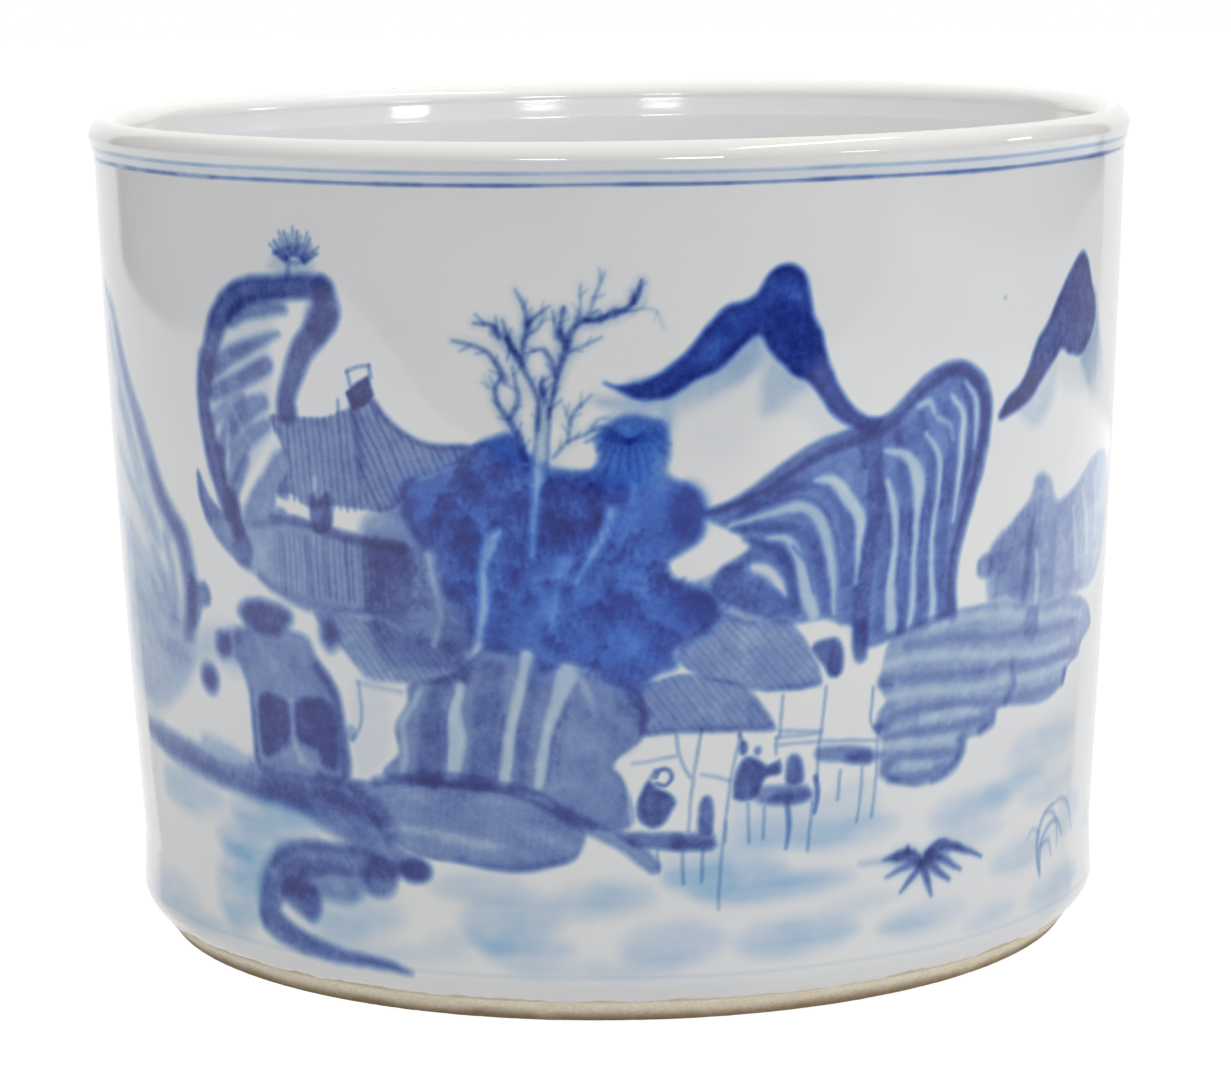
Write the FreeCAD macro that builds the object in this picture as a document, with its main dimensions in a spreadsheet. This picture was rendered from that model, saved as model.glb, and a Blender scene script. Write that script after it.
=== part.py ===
import FreeCAD, Part
import math
import os
import re

import Sketcher

# Wide, low porcelain brush pot. It is thrown and fired as one piece, so its
# sub-parts are the layers that it is made of: the biscuit body and three coats
# of glaze that lie face to face with it. Millimetres, +Z up, origin at the
# centre of the foot ring's resting face.

SIZES = {
    # the finished outside, glaze included
    "overall_height": 160.0,
    "rim_radius": 102.0,
    "rim_height": 156.6,
    "crest_radius": 99.2,
    "neck_radius": 101.0,
    "neck_height": 152.4,
    "waist_radius": 95.1,
    "waist_height": 19.0,
    "heel_radius": 95.4,
    "heel_height": 8.6,
    "shoulder_radius": 93.6,
    "shoulder_height": 4.6,
    # the bare foot
    "foot_radius": 89.8,
    "foot_inner_radius": 81.0,
    "recess_radius": 79.6,
    "recess_depth": 3.6,
    # the brush well, glaze included
    "mouth_radius": 96.3,
    "mouth_height": 156.4,
    "well_top_radius": 95.6,
    "well_low_radius": 89.4,
    "well_low_height": 20.0,
    "well_floor_radius": 80.4,
    "well_floor_height": 11.0,
    # curves
    "wall_bow": 3750.0,
    "heel_curve": 5.2,
    "lip_outer_curve": 3.4,
    "lip_inner_curve": 3.2,
    "well_corner": 9.0,
    # every coat of glaze
    "coat": 0.4,
}

# Points nearer than this count as one.
TOUCHING = 1e-6


def make_sheet(doc):
    """The driving dimensions, one named cell each."""
    sheet = doc.addObject("Spreadsheet::Sheet", "Sizes")
    for row, (alias, value) in enumerate(SIZES.items(), start=1):
        sheet.set(f"A{row}", alias.replace("_", " "))
        sheet.set(f"B{row}", str(value))
        sheet.setAlias(f"B{row}", alias)
    doc.recompute()
    return sheet


def sheet_terms(text):
    """A formula in cell names, written the way an expression needs it."""
    return re.sub(r"[a-z][a-z_]*", r"Sizes.\g<0>", text)


def sheet_value(sheet, text):
    value = sheet.evalExpression(sheet_terms(text))
    return float(getattr(value, "Value", value))


def origin_plane(body, role):
    for feature in body.Origin.OriginFeatures:
        if feature.Role == role:
            return feature
    raise RuntimeError(f"{body.Label} has no {role}")


def arc_through(start, end, radius, left):
    """An arc of the given radius, which bulges to the left or the right of its way from start to end."""
    chord = end - start
    middle = (start + end) * 0.5
    half = chord.Length * 0.5
    sagitta = radius - math.sqrt(radius * radius - half * half)
    across = FreeCAD.Vector(-chord.y, chord.x, 0).normalize()
    side = 1.0 if left else -1.0
    return Part.Arc(start, middle + across * (sagitta * side), end)


def pin_to_origin(sketch, geometry, point, place, terms):
    """Holds one corner at its radius and height, both read from the sheet."""
    sides = (("DistanceX", place.x, terms[0], -2), ("DistanceY", place.y, terms[1], -1))
    for kind, value, text, axis in sides:
        if abs(value) < TOUCHING:
            sketch.addConstraint(Sketcher.Constraint("PointOnObject", geometry, point, axis))
            continue
        held = sketch.addConstraint(Sketcher.Constraint(kind, -1, 1, geometry, point, value))
        sketch.setExpression(f"Constraints[{held}]", sheet_terms(text))


def draw_profile(sketch, sheet, corners, curves):
    """A closed half-section: corners are (radius, height), curves are arcs between them."""
    points = [FreeCAD.Vector(sheet_value(sheet, r), sheet_value(sheet, z), 0) for r, z in corners]
    ends = []
    for index, start in enumerate(points):
        end = points[(index + 1) % len(points)]
        if index in curves:
            radius_text, left = curves[index]
            radius = sheet_value(sheet, radius_text)
            edge = sketch.addGeometry(arc_through(start, end, radius, left))
            held = sketch.addConstraint(Sketcher.Constraint("Radius", edge, radius))
            sketch.setExpression(f"Constraints[{held}]", sheet_terms(radius_text))
        else:
            edge = sketch.addGeometry(Part.LineSegment(start, end))
        starts_first = (sketch.getPoint(edge, 1) - start).Length < TOUCHING
        ends.append((edge, 1, 2) if starts_first else (edge, 2, 1))
    for index, (edge, first, last) in enumerate(ends):
        following, following_first, _ = ends[(index + 1) % len(ends)]
        sketch.addConstraint(Sketcher.Constraint("Coincident", edge, last, following, following_first))
        pin_to_origin(sketch, edge, first, points[index], corners[index])


def turned_body(doc, sheet, label, corners, curves):
    """One layer of the pot, turned about the pot's axis."""
    body = doc.addObject("PartDesign::Body", label)
    body.Label = label
    sketch = body.newObject("Sketcher::SketchObject", f"{label}_section")
    sketch.AttachmentSupport = [(origin_plane(body, "XZ_Plane"), "")]
    sketch.MapMode = "FlatFace"
    draw_profile(sketch, sheet, corners, curves)
    doc.recompute()
    turn = body.newObject("PartDesign::Revolution", f"{label}_turned")
    turn.Profile = sketch
    turn.ReferenceAxis = (sketch, ["V_Axis"])
    turn.Angle = 360
    sketch.Visibility = False
    body.Placement = FreeCAD.Placement()
    return body


# Corners that two layers share, so that a coat lies on the body with no gap.
SHOULDER = ("shoulder_radius", "shoulder_height")
BARE_SHOULDER = ("shoulder_radius - coat", "shoulder_height")
BARE_HEEL = ("heel_radius - coat", "heel_height")
BARE_WAIST = ("waist_radius - coat", "waist_height")
BARE_NECK = ("neck_radius - coat", "neck_height")
BARE_RIM = ("rim_radius - coat", "rim_height")
BARE_CREST = ("crest_radius", "overall_height - coat")
CREST = ("crest_radius", "overall_height")
BARE_MOUTH = ("mouth_radius + coat", "mouth_height")
BARE_WELL_TOP = ("well_top_radius + coat", "neck_height")
BARE_WELL_LOW = ("well_low_radius + coat", "well_low_height")
BARE_WELL_FLOOR = ("well_floor_radius", "well_floor_height - coat")
BARE_RECESS = ("recess_radius", "recess_depth + coat")


def make_porcelain_body(doc, sheet):
    """Biscuit wall, floor and foot ring, with the bare bevel round the outside of the foot."""
    corners = [
        ("foot_radius", "0"),
        SHOULDER,
        BARE_SHOULDER,
        BARE_HEEL,
        BARE_WAIST,
        BARE_NECK,
        BARE_RIM,
        BARE_CREST,
        BARE_MOUTH,
        BARE_WELL_TOP,
        BARE_WELL_LOW,
        BARE_WELL_FLOOR,
        ("0", "well_floor_height - coat"),
        ("0", "recess_depth + coat"),
        BARE_RECESS,
        ("recess_radius", "recess_depth"),
        ("foot_inner_radius", "0"),
    ]
    curves = {
        2: ("heel_curve", False),
        4: ("wall_bow", False),
        6: ("lip_outer_curve", False),
        7: ("lip_inner_curve", False),
        9: ("wall_bow", True),
        10: ("well_corner", True),
    }
    return turned_body(doc, sheet, "porcelain_body", corners, curves)


def make_outer_glaze(doc, sheet):
    """The clear coat from the foot's shoulder up over the lip to its crest."""
    corners = [
        BARE_SHOULDER,
        SHOULDER,
        ("heel_radius", "heel_height"),
        ("waist_radius", "waist_height"),
        ("neck_radius", "neck_height"),
        ("rim_radius", "rim_height"),
        CREST,
        BARE_CREST,
        BARE_RIM,
        BARE_NECK,
        BARE_WAIST,
        BARE_HEEL,
    ]
    curves = {
        1: ("heel_curve", False),
        3: ("wall_bow", False),
        5: ("lip_outer_curve + coat", False),
        7: ("lip_outer_curve", True),
        9: ("wall_bow", True),
        11: ("heel_curve", True),
    }
    return turned_body(doc, sheet, "outer_glaze", corners, curves)


def make_inner_glaze(doc, sheet):
    """The coat from the lip's crest down the well and over its floor."""
    corners = [
        CREST,
        ("mouth_radius", "mouth_height"),
        ("well_top_radius", "neck_height"),
        ("well_low_radius", "well_low_height"),
        ("well_floor_radius", "well_floor_height"),
        ("0", "well_floor_height"),
        ("0", "well_floor_height - coat"),
        BARE_WELL_FLOOR,
        BARE_WELL_LOW,
        BARE_WELL_TOP,
        BARE_MOUTH,
        BARE_CREST,
    ]
    curves = {
        0: ("lip_inner_curve + coat", False),
        2: ("wall_bow", True),
        3: ("well_corner", True),
        7: ("well_corner", False),
        8: ("wall_bow", False),
        10: ("lip_inner_curve", True),
    }
    return turned_body(doc, sheet, "inner_glaze", corners, curves)


def make_base_glaze(doc, sheet):
    """The disc of glaze in the shallow recess under the floor."""
    corners = [
        ("0", "recess_depth"),
        ("recess_radius", "recess_depth"),
        BARE_RECESS,
        ("0", "recess_depth + coat"),
    ]
    return turned_body(doc, sheet, "base_glaze", corners, {})


def check_document(doc, bodies):
    for item in doc.Objects:
        faults = {"Invalid", "Error"}.intersection(item.State)
        if faults:
            raise RuntimeError(f"{item.Label}: {', '.join(sorted(faults))}")
    for body in bodies:
        if body.Shape.isNull() or not body.Shape.isValid():
            raise RuntimeError(f"{body.Label}: its shape is null or not valid")


def main():
    doc = FreeCAD.newDocument("brush_pot")
    sheet = make_sheet(doc)
    makers = (make_porcelain_body, make_outer_glaze, make_inner_glaze, make_base_glaze)
    bodies = [maker(doc, sheet) for maker in makers]
    doc.recompute()
    check_document(doc, bodies)
    os.makedirs("parts", exist_ok=True)
    for body in bodies:
        body.Shape.exportStep(f"parts/{body.Label}.step")
        box = body.Shape.BoundBox
        print(f"{body.Label}: {len(body.Shape.Solids)} solid, {body.Shape.Volume:.0f} mm3, "
              f"z {box.ZMin:.2f} to {box.ZMax:.2f}, radius {box.XMax:.2f}")


main()
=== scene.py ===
import math

import bmesh
import bpy
import numpy as np
from bpy.props import FloatProperty, FloatVectorProperty, PointerProperty
from mathutils import Matrix, Vector


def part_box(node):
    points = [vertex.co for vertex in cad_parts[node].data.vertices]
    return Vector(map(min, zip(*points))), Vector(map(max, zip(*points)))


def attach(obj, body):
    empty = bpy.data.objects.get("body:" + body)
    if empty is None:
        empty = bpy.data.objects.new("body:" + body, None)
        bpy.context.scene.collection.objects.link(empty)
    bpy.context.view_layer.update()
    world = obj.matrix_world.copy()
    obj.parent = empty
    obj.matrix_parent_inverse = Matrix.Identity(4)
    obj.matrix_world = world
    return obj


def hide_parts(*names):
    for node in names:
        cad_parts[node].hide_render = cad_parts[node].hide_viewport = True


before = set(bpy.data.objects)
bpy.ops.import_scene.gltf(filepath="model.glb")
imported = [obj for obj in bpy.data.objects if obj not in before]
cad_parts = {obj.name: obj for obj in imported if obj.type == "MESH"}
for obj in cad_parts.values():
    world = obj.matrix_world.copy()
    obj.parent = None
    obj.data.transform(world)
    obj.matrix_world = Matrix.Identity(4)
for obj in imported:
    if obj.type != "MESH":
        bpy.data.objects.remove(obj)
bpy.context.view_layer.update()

bl_info = {
    "name": "Porcelain Brush Pot",
    "version": (1, 0, 0),
    "blender": (4, 5, 0),
    "location": "View3D > Sidebar > Brush Pot",
    "description": "Builds a blue and white brush pot round its CAD frame, with its paint, glaze and studio",
    "category": "Object",
}

OUTER_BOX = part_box("outer_glaze")
WELL_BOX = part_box("inner_glaze")
BASE_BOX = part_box("base_glaze")

MM = 0.001
PAINT_RADIUS = 98.0
GIRTH = 2 * math.pi * PAINT_RADIUS

# The turned section in millimetres, as the CAD layers have it. Its width and height come from the frame.
RIM_RADIUS = OUTER_BOX[1][0] / MM
HEIGHT = OUTER_BOX[1][2] / MM
SHOULDER_HEIGHT = OUTER_BOX[0][2] / MM
FLOOR_HEIGHT = WELL_BOX[0][2] / MM + 0.4
COAT = 0.4
SHOULDER = (RIM_RADIUS - 8.4, SHOULDER_HEIGHT)
SHOULDER_TOP = (SHOULDER[0] + 0.12, SHOULDER[1] + 0.3)
HEEL = (RIM_RADIUS - 6.6, 8.6)
WAIST = (RIM_RADIUS - 6.9, 19.0)
NECK = (RIM_RADIUS - 1.0, HEIGHT - 7.6)
RIM = (RIM_RADIUS, HEIGHT - 3.4)
CREST = (RIM_RADIUS - 2.8, HEIGHT)
MOUTH = (RIM_RADIUS - 5.7, HEIGHT - 3.6)
WELL_TOP = (RIM_RADIUS - 6.4, HEIGHT - 7.6)
WELL_LOW = (RIM_RADIUS - 12.6, 20.0)
WELL_FLOOR = (RIM_RADIUS - 21.6, FLOOR_HEIGHT)
FOOT_RADIUS = RIM_RADIUS - 12.2
FOOT_INNER_RADIUS = 81.0
RECESS_RADIUS = BASE_BOX[1][0] / MM
RECESS_DEPTH = BASE_BOX[0][2] / MM
WALL_BOW = 3750.0


# ---------------------------------------------------------------- sections

def straight(start, end, step):
    """Points from start up to, but not on, end."""
    count = max(1, math.ceil(math.dist(start, end) / step))
    share = np.arange(count)[:, None] / count
    return np.array(start) * (1 - share) + np.array(end) * share


def arc(start, end, radius, left, step):
    """Points of the arc from start to end that bulges to the left or right of its way."""
    a = np.array(start, float)
    b = np.array(end, float)
    chord = b - a
    half = np.linalg.norm(chord) / 2
    across = np.array([-chord[1], chord[0]]) / (2 * half)
    side = 1.0 if left else -1.0
    centre = (a + b) / 2 - across * side * math.sqrt(radius * radius - half * half)
    first = math.atan2(a[1] - centre[1], a[0] - centre[0])
    sweep = 2 * math.asin(half / radius) * -side
    count = max(2, math.ceil(abs(sweep) * radius / step))
    angles = first + sweep * np.arange(count) / count
    return centre + radius * np.stack([np.cos(angles), np.sin(angles)], axis=1)


def wall_section(step):
    """Outside of the pot from the glaze's lower edge to the lip's crest."""
    edge = (SHOULDER[0] - COAT, SHOULDER[1] - 0.05)
    turn = (SHOULDER[0] - 0.06, SHOULDER[1] + 0.12)
    return np.vstack([
        straight(edge, turn, 0.2),
        straight(turn, SHOULDER_TOP, 0.3),
        arc(SHOULDER_TOP, HEEL, 5.2, False, min(step, 0.4)),
        straight(HEEL, WAIST, step),
        arc(WAIST, NECK, WALL_BOW, False, step),
        straight(NECK, RIM, min(step, 0.3)),
        arc(RIM, CREST, 3.8, False, 0.25),
        [CREST],
    ])


def well_section(step):
    """Inside of the pot from the crest down the well and over its floor to the axis."""
    return np.vstack([
        arc(CREST, MOUTH, 3.6, False, 0.25),
        straight(MOUTH, WELL_TOP, 0.4),
        arc(WELL_TOP, WELL_LOW, WALL_BOW, True, step),
        arc(WELL_LOW, WELL_FLOOR, 9.0, True, 0.6),
        straight(WELL_FLOOR, (0.5, FLOOR_HEIGHT), step),
        [(0.5, FLOOR_HEIGHT)],
    ])


def inset(section, depth):
    """The same line moved by depth into the clay, which lies on its left."""
    way = np.gradient(section, axis=0)
    way /= np.linalg.norm(way, axis=1)[:, None]
    return section + depth * np.stack([-way[:, 1], way[:, 0]], axis=1)


def clay_section():
    """The whole clay body: well side, over the lip, down the outside, then the bare foot and the recess."""
    inside = inset(well_section(6.0), COAT)[::-1]
    outside = inset(wall_section(6.0)[3:], COAT)[::-1]
    ring_out = (FOOT_RADIUS + 0.35, 0.32)
    ring_in = (FOOT_INNER_RADIUS + 0.3, 0.0)
    step_in = (FOOT_INNER_RADIUS - 0.1, 0.3)
    recess = (RECESS_RADIUS, RECESS_DEPTH + COAT)
    return np.vstack([
        inside,
        outside[1:],
        straight((SHOULDER[0] - COAT, SHOULDER[1] - 0.02), ring_out, 0.22),
        arc(ring_out, (FOOT_RADIUS - 0.35, 0.0), 0.55, True, 0.12),
        straight((FOOT_RADIUS - 0.35, 0.0), ring_in, 0.5),
        arc(ring_in, step_in, 0.4, True, 0.12),
        straight(step_in, recess, 0.4),
        straight(recess, (0.5, recess[1]), 5.0),
        [(0.5, recess[1])],
    ])


def base_section():
    """The glazed disc in the recess, thicker in a puddled ring where it meets the foot."""
    edge = RECESS_RADIUS - 0.05
    return np.vstack([
        straight((edge, RECESS_DEPTH + 0.30), (edge - 0.4, RECESS_DEPTH - 0.02), 0.1),
        straight((edge - 0.4, RECESS_DEPTH - 0.02), (edge - 2.6, RECESS_DEPTH + 0.10), 0.4),
        straight((edge - 2.6, RECESS_DEPTH + 0.10), (0.5, RECESS_DEPTH + 0.06), 1.6),
        [(0.5, RECESS_DEPTH + 0.06)],
    ])


# ---------------------------------------------------------------- smooth noise and the paint field

def smooth_noise(rows, cols, coarse_rows, coarse_cols, rng):
    """Soft noise from -1 to 1 that closes on itself round the pot."""
    grid = rng.uniform(-1, 1, (coarse_rows + 3, coarse_cols))
    across = np.arange(cols) / cols * coarse_cols
    down = np.arange(rows) / rows * coarse_rows
    left = np.floor(across).astype(int)
    low = np.floor(down).astype(int)
    s = across - left
    v = down - low
    weights = lambda t: np.stack([(1 - t) ** 3, 3 * t ** 3 - 6 * t ** 2 + 4,
                                  -3 * t ** 3 + 3 * t ** 2 + 3 * t + 1, t ** 3]) / 6
    ws, wv = weights(s), weights(v)
    wide = sum(grid[:, (left + k) % coarse_cols] * ws[k] for k in range(4))
    return sum(wide[low + k] * wv[k][:, None] for k in range(4)) * 1.8


def smoothstep(low, high, value):
    t = np.clip((value - low) / (high - low), 0, 1)
    return t * t * (3 - 2 * t)


def flowing(points, closed, step=0.7):
    """A smooth line through given points; each is (along, up) with any further values riding on it."""
    p = np.array(points, float)
    count = len(p)
    spans = count if closed else count - 1
    out = []
    for i in range(spans):
        if closed:
            a, b, c, d = (p[(i + k) % count] for k in (-1, 0, 1, 2))
        else:
            b, c = p[i], p[i + 1]
            a = p[i - 1] if i else 2 * b - c
            d = p[i + 2] if i + 2 < count else 2 * c - b
        n = max(2, math.ceil(math.dist(b[:2], c[:2]) / step))
        t = (np.arange(n) / n)[:, None]
        bend = (2 * a - 5 * b + 4 * c - d) * t ** 2
        curve = 0.5 * (2 * b + (c - a) * t + bend + (3 * b - a - 3 * c + d) * t ** 3)
        curve[:, 2:] = b[2:] * (1 - t) + c[2:] * t
        out.append(curve)
    if not closed:
        out.append(p[-1:])
    return np.vstack(out)


class PaintField:
    """Cobalt and thin water-blue held as fields over the wall: arc length by height, in millimetres."""

    FULL = 1.4

    def __init__(self, cell, tremor, seed):
        self.rows = round(HEIGHT / cell)
        self.cols = round(GIRTH / cell)
        self.cell_u = GIRTH / self.cols
        self.cell_z = HEIGHT / self.rows
        self.cobalt = np.zeros((self.rows, self.cols))
        self.water = np.zeros((self.rows, self.cols))
        self.vivid = np.zeros((self.rows, self.cols))
        rng = np.random.default_rng(seed)
        shape = (self.rows, self.cols)
        slow = [smooth_noise(*shape, 26, 100, rng) for _ in range(2)]
        quick = [smooth_noise(*shape, 110, 420, rng) for _ in range(2)]
        self.shift_u = tremor * (0.65 * slow[0] + 0.35 * quick[0])
        self.shift_z = tremor * (0.65 * slow[1] + 0.35 * quick[1])
        self.streaks = 0.6 * smooth_noise(*shape, 90, 60, rng) + 0.4 * smooth_noise(*shape, 220, 130, rng)
        self.mottle = 0.6 * smooth_noise(*shape, 60, 230, rng) + 0.4 * smooth_noise(*shape, 150, 580, rng)

    def window(self, low, high):
        """Rows, wrapped columns and the trembling coordinates of a box of the field."""
        first = int(np.floor((low[0] + GIRTH / 2) / self.cell_u))
        last = int(np.ceil((high[0] + GIRTH / 2) / self.cell_u)) + 1
        bottom = max(0, int(low[1] / self.cell_z))
        top = min(self.rows, int(np.ceil(high[1] / self.cell_z)) + 1)
        columns = np.arange(first, last)
        rows = np.arange(bottom, max(top, bottom + 1))
        spot = np.ix_(rows, columns % self.cols)
        u = (columns + 0.5) * self.cell_u - GIRTH / 2 + self.shift_u[spot]
        z = ((rows + 0.5) * self.cell_z)[:, None] + self.shift_z[spot]
        return spot, u, z

    def lay(self, spot, amount, layer="cobalt"):
        """Adds paint so that overlapping strokes deepen but never pass full strength."""
        field = getattr(self, layer)
        bare = (1 - field[spot] / self.FULL) * (1 - np.clip(amount, 0, 1.3) / self.FULL)
        field[spot] = self.FULL * (1 - bare)

    def line_distance(self, line, spot_u, spot_z, reach):
        """Distance to a line less its half width, and the values that ride along it."""
        near = np.full(spot_u.shape, 1e3)
        ride = np.zeros(spot_u.shape)
        for a, b in zip(line[:-1], line[1:]):
            half = max(a[2], b[2]) / 2 + reach
            inside = ((spot_u > min(a[0], b[0]) - half) & (spot_u < max(a[0], b[0]) + half)
                      & (spot_z > min(a[1], b[1]) - half) & (spot_z < max(a[1], b[1]) + half))
            hit = np.nonzero(inside)
            if not hit[0].size:
                continue
            u, z = spot_u[hit], spot_z[hit]
            du, dz = b[0] - a[0], b[1] - a[1]
            t = np.clip(((u - a[0]) * du + (z - a[1]) * dz) / (du * du + dz * dz + 1e-9), 0, 1)
            gap = np.hypot(u - a[0] - t * du, z - a[1] - t * dz) - (a[2] + (b[2] - a[2]) * t) / 2
            closer = gap < near[hit]
            chosen = (hit[0][closer], hit[1][closer])
            near[chosen] = gap[closer]
            ride[chosen] = (a[3] + (b[3] - a[3]) * t)[closer]
        return near, ride

    def outline_distance(self, line, spot_u, spot_z, reach):
        """Signed distance to a closed outline, negative inside, exact only near its edge."""
        near = np.full(spot_u.shape, reach)
        inside = np.zeros(spot_u.shape, bool)
        for a, b in zip(line, np.roll(line, -1, axis=0)):
            crossing = (a[1] <= spot_z) != (b[1] <= spot_z)
            if crossing.any():
                at = a[0] + (spot_z - a[1]) / (b[1] - a[1] + 1e-12) * (b[0] - a[0])
                inside ^= crossing & (spot_u < at)
            close = ((spot_u > min(a[0], b[0]) - reach) & (spot_u < max(a[0], b[0]) + reach)
                     & (spot_z > min(a[1], b[1]) - reach) & (spot_z < max(a[1], b[1]) + reach))
            hit = np.nonzero(close)
            if not hit[0].size:
                continue
            u, z = spot_u[hit], spot_z[hit]
            du, dz = b[0] - a[0], b[1] - a[1]
            t = np.clip(((u - a[0]) * du + (z - a[1]) * dz) / (du * du + dz * dz + 1e-9), 0, 1)
            near[hit] = np.minimum(near[hit], np.hypot(u - a[0] - t * du, z - a[1] - t * dz))
        return np.where(inside, -near, near)


class Brush:
    """Paints on the field; a moved brush paints the same motif elsewhere, larger, smaller or mirrored."""

    BLEED = 1.3

    def __init__(self, field, about=(0, 0), to=(0, 0), scale=1.0, flip=False, strength=1.0):
        self.field = field
        self.about = np.array(about, float)
        self.to = np.array(to, float)
        self.scale = scale
        self.turn = np.array([-1.0 if flip else 1.0, 1.0]) * scale
        self.strength = strength

    def place(self, points):
        p = np.array(points, float)
        p[:, :2] = (p[:, :2] - self.about) * self.turn + self.to
        return p

    def box(self, line, reach):
        return line[:, :2].min(axis=0) - reach, line[:, :2].max(axis=0) + reach

    def line(self, points, width, ink, soft=0.6, layer="cobalt", pool=0.10, dry=0.16):
        """One brush line. A point is (along, up), with its own width and ink where it needs them."""
        full = [tuple(p) + ((width,) if len(p) < 3 else ()) for p in points]
        full = [p + ((ink,) if len(p) < 4 else ()) for p in full]
        line = self.place(flowing(full, closed=False, step=0.8 / self.scale))
        line[:, 2] *= self.scale
        soft *= self.BLEED
        low, high = self.box(line, line[:, 2].max() / 2 + 2 * soft + 1)
        spot, u, z = self.field.window(low, high)
        gap, ride = self.field.line_distance(line, u, z, 2 * soft + 0.4)
        cover = 1 - smoothstep(-soft, soft, gap)
        rim = np.exp(-((gap + 0.7) / 0.6) ** 2)
        grain = 1 + dry * self.field.mottle[spot]
        self.field.lay(spot, ride * self.strength * cover * (1 - pool * 0.3 + pool * rim) * grain, layer)

    def lift(self, points, width, amount, soft=0.5):
        """Bare porcelain left between strokes: takes paint off along a line."""
        full = [tuple(p) + ((width,) if len(p) < 3 else ()) + (amount,) for p in points]
        line = self.place(flowing(full, closed=False, step=0.8 / self.scale))
        line[:, 2] *= self.scale
        soft *= self.BLEED
        low, high = self.box(line, line[:, 2].max() / 2 + 2 * soft + 1)
        spot, u, z = self.field.window(low, high)
        gap, ride = self.field.line_distance(line, u, z, 2 * soft + 0.4)
        self.field.cobalt[spot] *= 1 - ride * (1 - smoothstep(-soft, soft, gap))

    def shape(self, points, soft, smooth=True):
        line = np.array(points, float)
        line = flowing(points, closed=True, step=1.2 / self.scale) if smooth else line
        line = self.place(line)
        low, high = self.box(line, 2 * soft + 1)
        spot, u, z = self.field.window(low, high)
        return spot, u, z, self.field.outline_distance(line, u, z, max(3.0, 2 * soft))

    def fill(self, points, ink, soft=0.75, pool=0.05, fade=None, layer="cobalt", blot=0.22, smooth=True,
             streak=0.0):
        """A filled wash. fade is two points: full strength at the first, gone at the second."""
        soft *= self.BLEED
        spot, u, z, gap = self.shape(points, soft, smooth)
        amount = ink * self.strength * (1 - smoothstep(-soft, soft, gap))
        amount *= 1 + pool * np.exp(-((gap + 0.8) / 0.9) ** 2) + blot * self.field.mottle[spot]
        amount *= 1 + streak * self.field.streaks[spot]
        if fade:
            amount *= 1 - self.slide(fade, u, z)
        self.field.lay(spot, amount, layer)

    def clear(self, points, amount, soft=0.5, smooth=True):
        """Bare porcelain left inside an outline."""
        soft *= self.BLEED
        spot, _, _, gap = self.shape(points, soft, smooth)
        self.field.cobalt[spot] *= 1 - amount * (1 - smoothstep(-soft, soft, gap))

    def slide(self, ends, u, z):
        a, b = self.place(ends)
        span = b - a
        return smoothstep(0, 1, ((u - a[0]) * span[0] + (z - a[1]) * span[1]) / (span @ span))

    def hatch(self, points, lean, spacing, width, ink, bend=0.0, smooth=True):
        """Thin parallel lines inside an outline. lean is degrees from upright."""
        spot, u, z, gap = self.shape(points, 0.4, smooth)
        slope = math.tan(math.radians(lean)) * self.turn[0] / self.scale
        middle = self.place([points[0][:2]])[0]
        across = (u - middle[0]) - slope * (z - middle[1]) + bend * (z - middle[1]) ** 2 / 20
        phase = across / (spacing * self.scale) + 0.10 * self.field.mottle[spot]
        off = np.abs(phase - np.round(phase)) * spacing * self.scale
        lines = np.exp(-(off / (0.5 * width * self.scale)) ** 2)
        fresh = 0.75 + 0.5 * np.sin(np.round(phase) * 2.4) * 0.5
        self.field.lay(spot, ink * self.strength * lines * fresh * (1 - smoothstep(-0.5, 0.3, gap)))

    def dot(self, along, up, wide, tall, ink, soft=0.6, lean=0.0):
        """A round or oval blot."""
        count = 10
        turn = math.radians(lean)
        ring = []
        for k in range(count):
            a = 2 * math.pi * k / count
            x, y = wide * math.cos(a), tall * math.sin(a)
            ring.append((along + x * math.cos(turn) - y * math.sin(turn),
                         up + x * math.sin(turn) + y * math.cos(turn)))
        self.fill(ring, ink, soft=soft, pool=0.1)

    def leaves(self, points, count, length, width, ink, seed, hang=False, layer="cobalt"):
        """Short curved dabs scattered inside an outline, standing off in all directions or hanging."""
        rng = np.random.default_rng(seed)
        p = np.array(points, float)[:, :2]
        low, high = p.min(axis=0), p.max(axis=0)
        placed = 0
        while placed < count:
            at = rng.uniform(low, high)
            angle = rng.normal(-math.pi / 2, 0.35) if hang else rng.uniform(0, 2 * math.pi)
            size = length * rng.uniform(0.6, 1.3)
            curl = rng.uniform(-0.5, 0.5)
            strength = ink * rng.uniform(0.5, 1.2)
            if not inside_outline(at, p):
                continue
            placed += 1
            middle = at + size / 2 * np.array([math.cos(angle), math.sin(angle)])
            tip = middle + size / 2 * np.array([math.cos(angle + curl), math.sin(angle + curl)])
            self.line([(*at, width * 0.5), (*middle, width), (*tip, width * 0.2)], width, strength,
                      soft=0.35, layer=layer, pool=0.0)


def inside_outline(at, outline):
    inside = False
    for a, b in zip(outline, np.roll(outline, -1, axis=0)):
        if (a[1] <= at[1]) != (b[1] <= at[1]):
            inside ^= at[0] < a[0] + (at[1] - a[1]) / (b[1] - a[1]) * (b[0] - a[0])
    return inside


# ---------------------------------------------------------------- the painted landscape, in millimetres

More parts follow.
